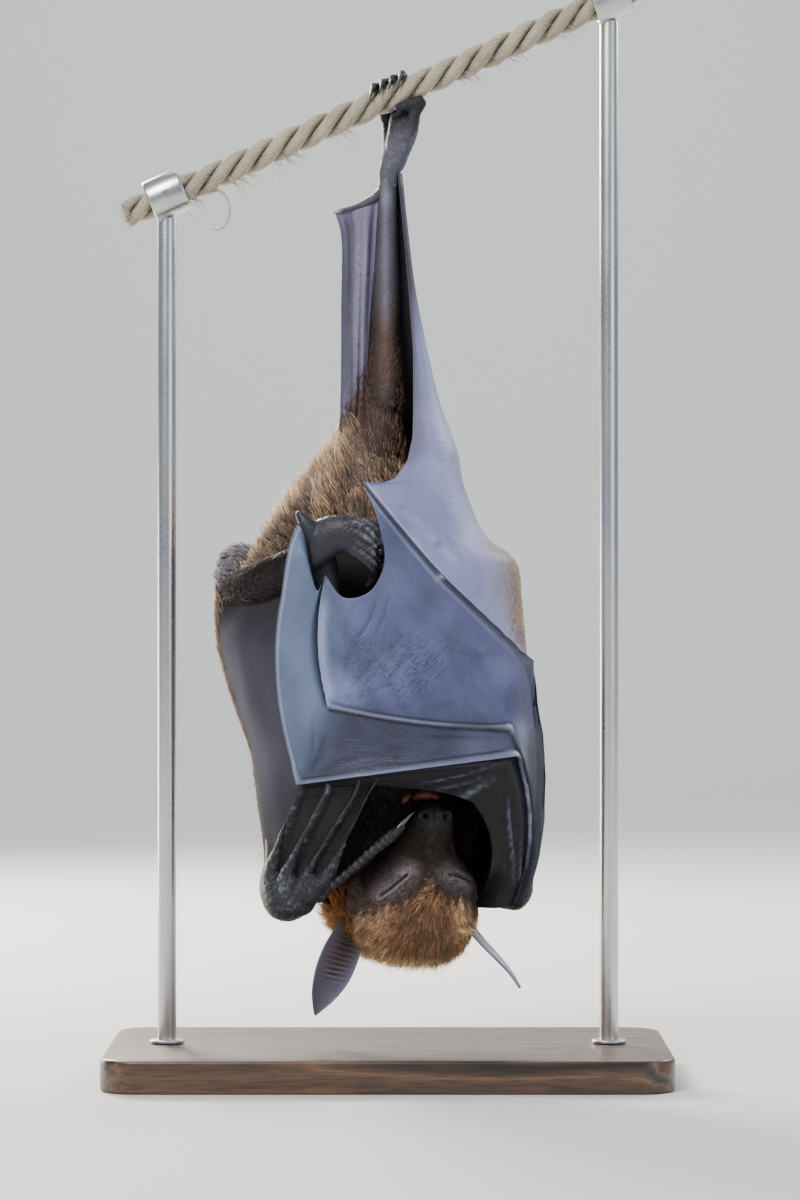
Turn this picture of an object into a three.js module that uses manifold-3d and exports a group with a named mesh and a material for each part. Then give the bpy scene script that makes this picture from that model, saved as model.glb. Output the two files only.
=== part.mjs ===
// A flying fox asleep, hanging head down from a rope by its right foot, with both wings folded
// round the body, as a life-size museum model on a plain stand.
//
// Millimetres, +Z up. The origin is the middle of the underside of the base. The bat's belly
// faces -Y, its right side is +X. Every body part is a closed solid that reaches the coat tips.

import * as THREE from 'three';
import { mergeVertices } from 'three/addons/utils/BufferGeometryUtils.js';
import Module from 'manifold-3d';

const wasm = await Module();
wasm.setup();

// ---------------------------------------------------------------- driving dimensions

const GAP = 0.35; // clear space left between neighbouring solids
const MEMBRANE = 1.2; // thickness of the wing and tail membranes
const DIGIT = 1.7; // radius of a finger bone with its skin

const BASE = { width: 240, depth: 140, thick: 14, corner: 16, edge: 1.5 };
const ROD = { radius: 4, reach: 95 };
const ROPE = { radius: 6, slope: 24, x: 5.2, z: 422.6, overhang: 17 };
const COLLAR = { clearance: 0.9, wall: 3.4, length: 16 };

// The sleeve that the folded wings follow, from the ankle down to the wrists:
// height, middle, half width, depth in front of the middle, depth behind it.
const SLEEVE = [
  [386, 2, 4, 4, 5],
  [333, 2.5, 9.1, 7, 9],
  [290, 6, 16.8, 16, 17],
  [269, 5, 25.5, 28, 26],
  [256, 1, 34.3, 37, 29],
  [243, -2, 42.4, 42, 31],
  [222, -8, 63, 47, 34],
  [204, -8.4, 66.4, 50, 35],
  [183, -6.4, 66.6, 51, 35],
  [161, -2, 65, 52, 35],
  [140, 3, 63, 53, 35],
  [118, 4.6, 61.7, 50, 31],
  [97, 5.5, 59.5, 46, 27],
  [75, 3, 56, 38, 20],
  [60, 2, 50, 32, 16],
];

// The fingers of the right wing, seen from the front as [x, z]: the wrist, the knuckle at the
// end of the palm bone, the joint between the two finger bones and the tip, with the middle
// of each bone between them.
const RIGHT_FINGERS = {
  five: [
    [58, 75], [66.6, 122], [60.2, 178.8], [41.3, 196.9], [22.4, 214.9], [5.5, 234.5], [-10.8, 254.5],
  ],
  four: [
    [54.5, 73], [61.3, 110], [51.6, 150.9], [13.5, 153.6], [-24.5, 160.3], [-28.8, 187], [-26.2, 214.9],
  ],
  three: [
    [50, 73.5], [54.5, 105], [54.2, 138.8], [8.2, 133.5], [-37.8, 126.8], [-47.5, 185], [-34, 236.9],
  ],
  two: [[41, 75], [46.5, 98], [37.5, 119.5], [8, 126], [-37.5, 125.2]],
};
// The free edges of the skin between the tips of those fingers.
const RIGHT_EDGES = [
  [[-10.8, 254.5], [-3.9, 237], [-1.3, 220], [-7.7, 208], [-18.5, 205.7], [-26.2, 214.9]],
  [[-26.2, 214.9], [-29.5, 208.5], [-33, 222], [-34, 236.9]],
];

// ---------------------------------------------------------------- small helpers

const at = (x, y, z) => new THREE.Vector3(x, y, z);
const radians = THREE.MathUtils.degToRad;
const lerp = THREE.MathUtils.lerp;
const clamp = THREE.MathUtils.clamp;

// A smooth value between the rows of a table whose first column falls from row to row.
function row(table, key) {
  let i = 0;
  while (i < table.length - 2 && table[i + 1][0] > key) i++;
  const [a, b] = [table[i], table[i + 1]];
  const [before, after] = [table[Math.max(i - 1, 0)], table[Math.min(i + 2, table.length - 1)]];
  const span = b[0] - a[0];
  const t = clamp((key - a[0]) / span, 0, 1);
  return a.slice(1).map((start, k) => {
    const end = b[k + 1];
    const slopeA = ((end - before[k + 1]) / (b[0] - before[0])) * span;
    const slopeB = ((after[k + 1] - start) / (after[0] - a[0])) * span;
    const t2 = t * t;
    const t3 = t2 * t;
    return (
      (2 * t3 - 3 * t2 + 1) * start + (t3 - 2 * t2 + t) * slopeA +
      (3 * t2 - 2 * t3) * end + (t3 - t2) * slopeB
    );
  });
}

// A place on the sleeve by its angle from the front (positive to the bat's right) and height.
function around(degrees, z, off = 0) {
  const [middle, wide, front, back] = row(SLEEVE, z);
  const angle = radians(degrees);
  const depth = Math.abs(degrees) < 90 ? front : back;
  return at(middle + (wide + off) * Math.sin(angle), -(depth + off) * Math.cos(angle), z);
}

// A place on the front half of the sleeve by its x and height.
function onFront(x, z, off = 0) {
  const [middle, wide, front] = row(SLEEVE, z);
  const sine = clamp((x - middle) / (wide + off), -0.999, 0.999);
  return at(middle + (wide + off) * sine, -(front + off) * Math.sqrt(1 - sine * sine), z);
}

// A row of arcs, each from one joint through the bone's middle to the next joint, at t from 0
// to the number of bones.
function bones(points, t) {
  const i = Math.min(Math.floor(t), (points.length - 3) / 2);
  const f = t - i;
  const [a, m, b] = points.slice(2 * i, 2 * i + 3);
  return a.map((_, k) => {
    const pull = 2 * m[k] - (a[k] + b[k]) / 2;
    return (1 - f) * (1 - f) * a[k] + 2 * f * (1 - f) * pull + f * f * b[k];
  });
}

// ---------------------------------------------------------------- making solids

// A closed manifold solid from a list of corners and a list of triangles.
function solid(corners, triangles) {
  let volume = 0;
  for (const [a, b, c] of triangles) {
    volume += corners[a].dot(at(0, 0, 0).crossVectors(corners[b], corners[c]));
  }
  const facing = volume < 0 ? triangles.map(([a, b, c]) => [a, c, b]) : triangles;
  return new wasm.Manifold(new wasm.Mesh({
    numProp: 3,
    vertProperties: new Float32Array(corners.flatMap((p) => [p.x, p.y, p.z])),
    triVerts: new Uint32Array(facing.flat()),
  }));
}

// A solid from a closed geometry, with corners nearer than the weld made one.
function solidOf(geometry, weld = 1e-3) {
  const bare = geometry.clone();
  bare.deleteAttribute('normal');
  bare.deleteAttribute('uv');
  const merged = mergeVertices(bare, weld);
  const place = merged.getAttribute('position');
  const corners = Array.from({ length: place.count }, (_, i) => at(0, 0, 0).fromBufferAttribute(place, i));
  const index = Array.from(merged.index.array);
  const triangles = [];
  for (let i = 0; i < index.length; i += 3) triangles.push(index.slice(i, i + 3));
  return solid(corners, triangles.filter(([a, b, c]) => a !== b && b !== c && c !== a));
}

// The closed skin over a row of rings, each end closed on its own middle.
function loft(rings) {
  const sides = rings[0].length;
  const corners = rings.flat();
  const triangles = [];
  for (let i = 0; i < rings.length - 1; i++) {
    for (let j = 0; j < sides; j++) {
      const k = (j + 1) % sides;
      const [a, b, c, d] = [i * sides + j, i * sides + k, (i + 1) * sides + k, (i + 1) * sides + j];
      triangles.push([a, b, c], [a, c, d]);
    }
  }
  for (const [start, turn] of [[0, 1], [(rings.length - 1) * sides, -1]]) {
    const middle = at(0, 0, 0);
    for (let j = 0; j < sides; j++) middle.addScaledVector(corners[start + j], 1 / sides);
    corners.push(middle);
    for (let j = 0; j < sides; j++) {
      const edge = [start + j, start + ((j + 1) % sides)];
      triangles.push([...(turn > 0 ? edge.reverse() : edge), corners.length - 1]);
    }
  }
  return solid(corners, triangles);
}

// A round-ended limb through stations [x, y, z, half width, half depth]; the width lies along
// the given side direction.
function limb(stations, { side = at(1, 0, 0), sides = 10, steps = 10, caps = 2 } = {}) {
  const path = new THREE.CatmullRomCurve3(stations.map(([x, y, z]) => at(x, y, z)), false, 'centripetal');
  const last = stations.length - 1;
  const size = (t) => {
    const i = Math.min(Math.floor(t * last), last - 1);
    const [a, b] = [stations[i], stations[i + 1]];
    const f = t * last - i;
    return [lerp(a[3], b[3], f), lerp(a[4] ?? a[3], b[4] ?? b[3], f)];
  };
  const ring = (t, along, shrink) => {
    const ahead = path.getTangent(t);
    const across = side.clone().addScaledVector(ahead, -side.dot(ahead)).normalize();
    const out = at(0, 0, 0).crossVectors(ahead, across);
    const [wide, deep] = size(t);
    const middle = path.getPoint(t).addScaledVector(ahead, along * Math.min(wide, deep));
    return Array.from({ length: sides }, (_, j) => {
      const angle = (2 * Math.PI * j) / sides;
      return middle.clone()
        .addScaledVector(across, shrink * wide * Math.cos(angle))
        .addScaledVector(out, shrink * deep * Math.sin(angle));
    });
  };
  const rings = [];
  for (let k = caps; k > 0; k--) {
    const angle = (k / (caps + 0.4)) * (Math.PI / 2);
    rings.push(ring(0, -Math.sin(angle), Math.cos(angle)));
  }
  for (let i = 0; i <= steps; i++) rings.push(ring(i / steps, 0, 1));
  for (let k = 1; k <= caps; k++) {
    const angle = (k / (caps + 0.4)) * (Math.PI / 2);
    rings.push(ring(1, Math.sin(angle), Math.cos(angle)));
  }
  return loft(rings);
}

// Evenly spread values from 0 to the end, in so many steps.
const spread = (end, steps) => Array.from({ length: steps + 1 }, (_, i) => (end * i) / steps);

// A membrane over place(u, v) at the listed values of u and v; its thickness is a number or a
// function of u and v.
function sheet(place, us, vs, thick = MEMBRANE) {
  const corners = [];
  const small = 1e-3;
  const [lastU, lastV] = [us[us.length - 1], vs[vs.length - 1]];
  for (const side of [1, -1]) {
    for (const v of vs) {
      for (const u of us) {
        const alongU = place(Math.min(u + small, lastU), v).sub(place(Math.max(u - small, 0), v));
        const alongV = place(u, Math.min(v + small, lastV)).sub(place(u, Math.max(v - small, 0)));
        const normal = at(0, 0, 0).crossVectors(alongU, alongV).normalize();
        const half = (typeof thick === 'function' ? thick(u, v) : thick) / 2;
        corners.push(place(u, v).addScaledVector(normal, side * half));
      }
    }
  }
  const [across, down] = [us.length - 1, vs.length - 1];
  const layer = (across + 1) * (down + 1);
  const index = (i, j) => i * (across + 1) + j;
  const triangles = [];
  for (let i = 0; i < down; i++) {
    for (let j = 0; j < across; j++) {
      const [a, b, c, d] = [index(i, j), index(i, j + 1), index(i + 1, j + 1), index(i + 1, j)];
      triangles.push([a, b, c], [a, c, d]);
      triangles.push([a + layer, c + layer, b + layer], [a + layer, d + layer, c + layer]);
    }
  }
  const rim = [];
  for (let j = 0; j < across; j++) rim.push(index(0, j));
  for (let i = 0; i < down; i++) rim.push(index(i, across));
  for (let j = across; j > 0; j--) rim.push(index(down, j));
  for (let i = down; i > 0; i--) rim.push(index(i, 0));
  rim.forEach((a, n) => {
    const b = rim[(n + 1) % rim.length];
    triangles.push([b, a, a + layer], [b, a + layer, b + layer]);
  });
  return solid(corners, triangles);
}

// A finger or other thin bone along path(t), t from 0 to 1.
function bone(path, radius, steps, sides = 6) {
  const stations = Array.from({ length: steps + 1 }, (_, i) => {
    const p = path(i / steps);
    return [p.x, p.y, p.z, typeof radius === 'function' ? radius(i / steps) : radius];
  });
  return limb(stations, { side: at(0.3, 1, 0.2), sides, steps, caps: 1 });
}

const joined = (...parts) => parts.reduce((whole, part) => whole.add(part));

// The solid with every face moved out by the gap.
function grown(body, gap = GAP) {
  const mesh = body.getMesh();
  const corners = Array.from({ length: mesh.vertProperties.length / 3 }, (_, i) =>
    at(...mesh.vertProperties.slice(3 * i, 3 * i + 3)));
  const sums = corners.map(() => at(0, 0, 0));
  const triangles = [];
  const faces = corners.map(() => []);
  for (let i = 0; i < mesh.triVerts.length; i += 3) {
    const face = Array.from(mesh.triVerts.slice(i, i + 3));
    triangles.push(face);
    const [a, b, c] = face.map((k) => corners[k]);
    const normal = at(0, 0, 0).crossVectors(b.clone().sub(a), c.clone().sub(a)).normalize();
    face.forEach((k, n) => {
      const [here, next, last] = [face[n], face[(n + 1) % 3], face[(n + 2) % 3]].map((m) => corners[m]);
      const angle = next.clone().sub(here).angleTo(last.clone().sub(here));
      if (angle > 0) sums[k].addScaledVector(normal, angle);
      faces[k].push(normal);
    });
  }
  // A corner moves far enough that each of its faces moves by the gap, but no more than threefold.
  return solid(corners.map((p, i) => {
    const out = sums[i].normalize();
    const least = Math.min(...faces[i].map((normal) => normal.dot(out)));
    return p.clone().addScaledVector(out, gap / Math.max(least, 0.33));
  }), triangles);
}

// The largest of a solid's separate bodies.
function largest(body) {
  const bodies = body.decompose();
  return bodies.reduce((a, b) => (b.volume() > a.volume() ? b : a));
}

function geometryOf(body) {
  const { vertProperties, triVerts } = body.getMesh();
  const geometry = new THREE.BufferGeometry();
  geometry.setAttribute('position', new THREE.BufferAttribute(new Float32Array(vertProperties), 3));
  geometry.setIndex(Array.from(triVerts));
  return geometry;
}

// One clean body: the largest one left when slivers thinner than the weld have closed up.
function cleaned(body) {
  let [now, before] = [largest(body), 0];
  while (now.numTri() !== before) {
    before = now.numTri();
    now = largest(solidOf(geometryOf(now)));
  }
  return now;
}

// Whether every edge, with its corners rounded to a ten-thousandth, belongs to just two faces.
function sound(body) {
  const { vertProperties, triVerts } = body.getMesh();
  const corner = (k) =>
    Array.from(vertProperties.slice(3 * k, 3 * k + 3), (x) => Math.round(x * 1e4)).join();
  const uses = new Map();
  for (let i = 0; i < triVerts.length; i += 3) {
    const face = [0, 1, 2].map((n) => corner(triVerts[i + n]));
    if (new Set(face).size < 3) continue;
    face.forEach((a, n) => {
      const edge = [a, face[(n + 1) % 3]].sort().join(';');
      uses.set(edge, (uses.get(edge) ?? 0) + 1);
    });
  }
  return [...uses.values()].every((n) => n === 2);
}

// The body without what another body needs with its gap; a slightly wider gap where the cut
// would leave a pinched edge.
function clearOf(body, other) {
  for (const wider of [1, 1.08, 1.17, 1.3, 1.5]) {
    const cut = cleaned(body.subtract(grown(other, GAP * wider).add(other)));
    if (sound(cut)) return cut;
  }
  throw new Error('no clean cut');
}

// ---------------------------------------------------------------- stand and rope

const ropeRise = Math.tan(radians(ROPE.slope));
const ropeHeight = (x) => ROPE.z + (x - ROPE.x) * ropeRise;
const ropeAlong = at(Math.cos(radians(ROPE.slope)), 0, Math.sin(radians(ROPE.slope)));
const ropeUp = at(-ropeAlong.z, 0, ropeAlong.x);

// A place beside the rope: distance along it from the grip, angle from its top towards the
// back, and distance from its axis.
function besideRope(along, degrees, distance) {
  return at(ROPE.x, 0, ROPE.z)
    .addScaledVector(ropeAlong, along)
    .addScaledVector(ropeUp, distance * Math.cos(radians(degrees)))
    .addScaledVector(at(0, 1, 0), distance * Math.sin(radians(degrees)));
}

function base() {
  const { width, depth, thick, corner, edge } = BASE;
  const [x, y, r] = [width / 2 - edge, depth / 2 - edge, corner - edge];
  const outline = new THREE.Shape();
  outline.moveTo(-x + r, -y);
  outline.lineTo(x - r, -y).absarc(x - r, -y + r, r, -Math.PI / 2, 0);
  outline.lineTo(x, y - r).absarc(x - r, y - r, r, 0, Math.PI / 2);
  outline.lineTo(-x + r, y).absarc(-x + r, y - r, r, Math.PI / 2, Math.PI);
  outline.lineTo(-x, -y + r).absarc(-x + r, -y + r, r, Math.PI, 1.5 * Math.PI);
  const plate = new THREE.ExtrudeGeometry(outline, {
    depth: thick - 2 * edge, bevelEnabled: true, bevelThickness: edge, bevelSize: edge, bevelSegments: 1,
    curveSegments: 3,
  });
  plate.translate(0, 0, edge);
  return solidOf(plate);
}

// A rod from just above the base up to the collar, ending just under it.
function rod(side) {
  const x = side * ROD.reach;
  const top = ropeHeight(x) - (ROPE.radius + COLLAR.wall) / ropeAlong.x + 1.2;
  const geometry = new THREE.CylinderGeometry(ROD.radius, ROD.radius, top - BASE.thick - GAP, 16);
  geometry.rotateX(Math.PI / 2).translate(x, 0, (top + BASE.thick + GAP) / 2);
  return solidOf(geometry);
}

// The ring that holds the rope on a rod's end.
function collar(side) {
  const half = COLLAR.length / 2;
  const [inner, outer] = [ROPE.radius + COLLAR.clearance, ROPE.radius + COLLAR.wall];
  const bevel = 0.8;
  const profile = [
    [inner, -half], [outer - bevel, -half], [outer, -half + bevel], [outer, half - bevel],
    [outer - bevel, half], [inner, half], [inner, -half],
  ].map(([x, y]) => new THREE.Vector2(x, y));
  const geometry = new THREE.LatheGeometry(profile, 12);
  const x = side * ROD.reach;
  geometry.rotateZ(radians(ROPE.slope) - Math.PI / 2).applyMatrix4(new THREE.Matrix4().set(
    1, 0, 0, x, 0, 0, -1, 0, 0, 1, 0, ropeHeight(x), 0, 0, 0, 1));
  return solidOf(geometry);
}

function rope() {
  const half = ROD.reach + ROPE.overhang;
  const ends = [-half, half].map((x) => at(x, 0, ropeHeight(x)));
  const length = ends[0].distanceTo(ends[1]);
  const geometry = new THREE.CylinderGeometry(ROPE.radius, ROPE.radius, length, 12);
  geometry.rotateZ(radians(ROPE.slope) - Math.PI / 2).applyMatrix4(new THREE.Matrix4().set(
    1, 0, 0, 0, 0, 0, -1, 0, 0, 1, 0, (ends[0].z + ends[1].z) / 2, 0, 0, 0, 1));
  return solidOf(geometry);
}

// ---------------------------------------------------------------- legs and tail membrane

// The hanging foot: a broad sole behind the rope, four toes over its top and one in front.
function footRight() {
  const sole = limb([
    [0.2, 0, 384, 4.2, 4], [1.6, 2.5, 394, 4.4, 3.6], [3.6, 6, 405, 6.2, 3.4], [4.6, 9.5, 415, 7.6, 2.8],
  ], { sides: 8, steps: 4 });
  const onRope = ROPE.radius + 2.1;
  const toes = [-8, -3.6, 0.8, 5.2].map((along) => {
    const path = new THREE.CatmullRomCurve3([
      at(4.4 + along * 0.7, 9, 413),
      ...[78, 40, 2, -30].map((angle, n) => besideRope(along - n * 0.5, angle, onRope)),
      besideRope(along - 2, -58, onRope + 0.6),
    ]);
    return bone((t) => path.getPoint(t), (t) => lerp(2.1, 0.8, t ** 3), 4, 4);
  });
  const front = new THREE.CatmullRomCurve3([
    at(6, 1.5, 404), at(11.5, -4.5, 410), besideRope(6.4, -112, 8.6), besideRope(3.5, -88, 8.6),
    besideRope(-3, -82, 8.4), besideRope(-8, -86, 7.6),
  ]);
  return joined(sole, ...toes, bone((t) => front.getPoint(t), (t) => lerp(2.3, 0.7, t ** 2), 6, 4));
}

const shankRight = () => limb([
  [-1, 4, 297, 9, 9], [-1.5, 2.5, 330, 7.5, 7.5], [-0.6, 0.6, 358, 5.2, 5], [0, 0, 382, 4, 4],
], { sides: 8, steps: 5, caps: 1 });

const thighRight = () => limb([
  [-5, 10, 248, 20, 20], [-3.5, 8, 270, 17, 17], [-1.5, 5, 296, 11, 11],
], { sides: 10, steps: 3, caps: 1 });

const thighLeft = () => limb([
  [-20, 9, 252, 20, 20], [-42, 7, 233, 16, 16], [-63, 3, 210, 10, 10],
], { side: at(0, 1, 0), sides: 10, steps: 3, caps: 1 });

const shankLeft = () => limb([
  [-64, 0, 206, 8, 8.5], [-51, -20, 214, 8, 8], [-35, -36, 229, 4, 4],
], { side: at(0, 1, 0), sides: 8, steps: 4, caps: 1 });

// The tucked foot lies on the belly with its toes closed.
function footLeft() {
  const heel = limb([
    [-34, -37, 233, 5, 4], [-25, -40, 236, 6, 4], [-15, -41, 234, 7, 3.6],
  ], { side: at(0.2, 0, 1), sides: 6, steps: 2, caps: 1 });
  const toes = [0, 1, 2, 3, 4].map((n) => {
    const path = new THREE.CatmullRomCurve3([
      at(-17, -41, 239 - 2.4 * n), at(-8 - n * 0.4, -42.5, 238 - 3.4 * n), at(-1 - n, -40, 234 - 4 * n),
      at(1 - n * 1.2, -36, 229 - 4 * n),
    ]);
    return bone((t) => path.getPoint(t), (t) => lerp(1.9, 0.8, t * t), 2, 4);
  });
  const spur = limb([
    [-34, -37, 236, 2.2], [-36.5, -36, 241, 1.4], [-38, -35, 245, 0.8],
  ], { sides: 5, steps: 2, caps: 1 });
  return joined(heel, spur, ...toes);
}

// The tail membrane hangs from the heel spur down the inner side of the leg to the rump.
function tailMembrane() {
  const edge = new THREE.CatmullRomCurve3([
    at(-22.8, -0.5, 371), at(-20.3, 0, 362), at(-20.2, 1, 330), at(-20.4, 3, 296), at(-21.5, 5, 262),
  ]);
  const leg = new THREE.CatmullRomCurve3([
    at(-1.5, 0, 378), at(-3, 0.5, 362), at(-5, 1.5, 330), at(-6, 3, 296), at(-8, 6, 262),
  ]);
  const web = sheet((u, v) => {
    const p = edge.getPoint(v).lerp(leg.getPoint(v), u);
    p.y += 1.3 * Math.sin(Math.PI * 3 * u) * Math.sin(Math.PI * Math.min(v + 0.1, 1));
    return p;
  }, spread(1, 6), spread(1, 5));
  const spur = limb([[-1.5, 0, 381, 2, 2], [-10, -0.3, 375.5, 1.5, 1.5], [-23, -0.6, 371.5, 0.9, 0.9]],
    { side: at(0, 1, 0), sides: 5, steps: 2, caps: 1 });
  return web.add(spur);
}

// ---------------------------------------------------------------- trunk, neck and head

// Trunk sections: height, middle x, middle y, half width, depth in front, depth behind.
const TRUNK = [
  [287, -8, 9, 6, 5, 6],
  [277, -8.5, 9, 17, 14, 16],
  [260, -9, 8, 26, 22, 25],
  [236, -8, 8, 31, 27, 29],
  [208, -6, 8, 34, 30, 31],
  [178, -3, 8, 37, 32, 33],
  [148, 1, 8, 40, 32, 34],
  [125, 3, 8, 39, 30, 32],
  [111, 4, 8, 33, 25, 27],
  [103, 5, 8, 24, 18, 19],
];

function trunk() {
  const sides = 12;
  const rings = TRUNK.map(([z, x, y, wide, front, back]) => Array.from({ length: sides }, (_, j) => {
    const angle = (2 * Math.PI * j) / sides;
    const depth = Math.cos(angle) > 0 ? front : back;
    return at(x + wide * Math.sin(angle), y - depth * Math.cos(angle), z);
  }));
  return loft(rings);
}

const neck = () => limb([
  [4, 8, 106, 25, 20], [6, 5, 94, 27, 21], [8, 1, 82, 28, 22],
], { sides: 10, steps: 2, caps: 0 });

// The head hangs crown down, with the muzzle pointing up and forward at the chest.
const headSide = at(Math.cos(radians(9)), 0, -Math.sin(radians(9)));
const head = () => limb([
  [8.5, -2, 46.3, 7, 5], [8.5, -2.5, 50.5, 18.5, 14], [8.8, -3, 58, 27.5, 21], [9.3, -4, 67, 32.5, 25],
  [10, -6, 77, 33, 25.5], [11.5, -11, 86, 26, 21], [13.5, -18, 94, 17.5, 15], [16, -25.5, 102, 11.6, 11],
  [18.5, -31, 110, 9, 8.6], [20.2, -34.5, 116, 7, 6.2], [20.8, -35.6, 118.6, 4, 3.6],
], { side: headSide, sides: 14, steps: 13, caps: 0 });

// An ear: a thin pointed leaf, hollowed towards the camera's side.
const ear = (stations, side) => limb(stations, { side, sides: 8, steps: 6, caps: 1 });
const earLeft = () => ear([
  [-17, -8, 66, 5, 3.5], [-21.5, -8, 56, 7.5, 2.6], [-26.5, -7.5, 44, 7, 1.8], [-30.5, -6.5, 31, 3, 1.1],
  [-31.5, -6, 27.6, 0.9, 0.8],
], at(0.95, 0.2, 0.25));
const earRight = () => ear([
  [35, -8, 66, 5, 3.5], [41, -8.5, 58, 7, 2.4], [49, -9.5, 49, 5.5, 1.6], [55.5, -10, 41, 1.2, 0.9],
], at(0.35, 0.9, 0.25));

// ---------------------------------------------------------------- arms and wings

const upperArmRight = () => limb([
  [36, 18, 116, 9, 9], [47, 17, 165, 7.5, 7.5], [48, 13, 205, 7.5, 7.5],
], { sides: 7, steps: 2, caps: 1 });
const upperArmLeft = () => limb([
  [-32, 18, 116, 9, 9], [-47, 19, 160, 7.5, 7.5], [-60, 15, 202, 7.5, 7.5],
], { sides: 7, steps: 2, caps: 1 });
const forearmRight = () => limb([
  [46, 10, 224, 7, 7], [48, 9, 212, 8, 8], [52, 6, 190, 5.6, 5.6], [57, 4, 150, 5.2, 5.2],
  [58, 3, 110, 5, 5], [53, 0, 88, 5.5, 5],
], { sides: 7, steps: 6, caps: 1 });
const forearmLeft = () => limb([
  [-62, 12, 221, 7.5, 7.5], [-61, 10, 206, 7, 7], [-61.5, 8, 180, 5.4, 5.4], [-53, 6, 140, 5, 5],
  [-47, 2, 108, 5, 5], [-44, -8, 90, 5, 5],
], { sides: 7, steps: 6, caps: 1 });

// Columns across a fan of webs: one on each finger, one at each side of it, one between two.
const BESIDE = 0.1;
const webColumns = (webs) =>
  [...Array(webs).keys()].flatMap((n) => [n, n + BESIDE, n + 0.5, n + 1 - BESIDE]).concat(webs);

// The share of a web at a column, with the columns beside a finger a finger's radius from it.
function webShare(f, width) {
  const near = clamp((1.3 * DIGIT) / width, 0.02, 0.33);
  if (f < BESIDE) return (f / BESIDE) * near;
  if (f > 1 - BESIDE) return 1 - ((1 - f) / BESIDE) * near;
  return near + ((f - BESIDE) / (1 - 2 * BESIDE)) * (1 - 2 * near);
}

// A web is thick only where a finger runs in it, out to the wrist's edge.
function webThickness(u, v) {
  const onFinger = Math.abs(u - Math.round(u)) < 0.01;
  return onFinger ? lerp(MEMBRANE, 2 * DIGIT + 0.4 - 0.5 * v, Math.min(1, 4 * v)) : MEMBRANE;
}

// The right wing's hand lies over everything in front: palm bones up the right side, the first
// finger bones across the breast and the last ones up the left side, with the skin between.
function wingRightHand() {
  const { five, four, three, two } = RIGHT_FINGERS;
  const fingers = [five, four, three];
  const edges = RIGHT_EDGES.map((edge) =>
    new THREE.SplineCurve(edge.map(([x, z]) => new THREE.Vector2(x, z))));
  const webs = sheet((u, t) => {
    const n = Math.min(Math.floor(u), 1);
    const [a, b] = [bones(fingers[n], t), bones(fingers[n + 1], t)];
    const f = webShare(u - n, Math.hypot(b[0] - a[0], b[1] - a[1]));
    const [tipA, tipB] = [fingers[n].at(-1), fingers[n + 1].at(-1)];
    const edge = edges[n].getPoint(f);
    const free = Math.max(0, t - 2);
    const x = lerp(a[0], b[0], f) + free * (edge.x - lerp(tipA[0], tipB[0], f));
    const z = lerp(a[1], b[1], f) + free * (edge.y - lerp(tipA[1], tipB[1], f));
    const palm = t < 1 ? 3.2 * Math.sin(Math.PI * t) : 0;
    return onFront(x, z, -0.4 - (palm + 0.6) * Math.sin(Math.PI * f));
  }, webColumns(2), spread(3, 12), webThickness);
  const curtain = sheet((u, v) => {
    const [a, b] = [bones(three, v), bones(two, v)];
    return onFront(lerp(a[0], b[0], u), lerp(a[1], b[1], u), -1 - 3 * u);
  }, spread(1, 2), spread(2, 8));
  const wrist = limb([[55, -6, 84, 7, 7], [50, -9, 77, 7.5, 7]], { sides: 8, steps: 1 });
  return joined(webs, curtain, wrist);
}

// The right wing's arm skin, from the little finger round the forearm to the flank. It reaches
// up the leg to the ankle.
const RIGHT_SIDE_FRONT = [
  [6, 386], [10.5, 350], [11, 310], [10.3, 287], [4.5, 262], [-10.8, 254.5], [5.5, 234.5], [22.4, 214.9],
  [41.3, 196.9], [60.2, 178.8], [66.4, 122], [54, 76],
];
const RIGHT_SIDE_BACK = [
  [95, 386], [95, 350], [97, 310], [98, 287], [99, 268], [100, 255], [100, 238], [101, 222], [103, 205],
  [105, 185], [108, 122], [95, 76],
];
const RIGHT_FLANK = [
  [165, 386], [172, 350], [168, 312], [162, 290], [158, 275], [156, 262], [154, 245], [154, 228],
  [155, 208], [156, 185], [154, 140], [146, 108],
];

// A place along a list of pairs, t from 0 to 1.
function along(pairs, t) {
  const s = clamp(t, 0, 1) * (pairs.length - 1);
  const i = Math.min(Math.floor(s), pairs.length - 2);
  return pairs[i].map((value, k) => lerp(value, pairs[i + 1][k], s - i));
}

// The angle round the sleeve of a place on its front.
function angleOf(x, z) {
  const [middle, wide] = row(SLEEVE, z);
  return THREE.MathUtils.radToDeg(Math.asin(clamp((x - middle) / wide, -0.999, 0.999)));
}

// An arm skin from its front line to the forearm's line at u = 1 and on to the flank at u = 2.
function armSkin(front, side, flank, sink, rows) {
  return sheet((u, v) => {
    const [a, b, c] = [along(front, v), along(side, v), along(flank, v)];
    const start = [angleOf(...a), a[1]];
    const [p, q, f] = u < 1 ? [start, b, u] : [b, c, u - 1];
    const deep = u < 1 ? sink * (1 - u) + 2 * f * (1 - f) : 2 * f;
    return around(lerp(p[0], q[0], f), lerp(p[1], q[1], f), -0.4 - deep);
  }, [0, 0.33, 0.67, 1, 1.5, 2], spread(1, rows));
}

const wingRightArm = () => armSkin(RIGHT_SIDE_FRONT, RIGHT_SIDE_BACK, RIGHT_FLANK, 0.4, 11);

// The left wing's hand is a closed fan under the right wing, spread from the wrist.
const LEFT_FAN = [
  [[-50, 80], [-46, 106], [-38, 128], [-42, 168], [-50, 205]],
  [[-45, 79], [-38, 102], [-27, 124], [-24, 168], [-26, 214]],
  [[-38, 78], [-31, 96], [-15, 122], [-6, 168], [0, 222]],
  [[-29, 80], [-20, 100], [-8, 124], [10, 160], [24, 205]],
];

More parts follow.
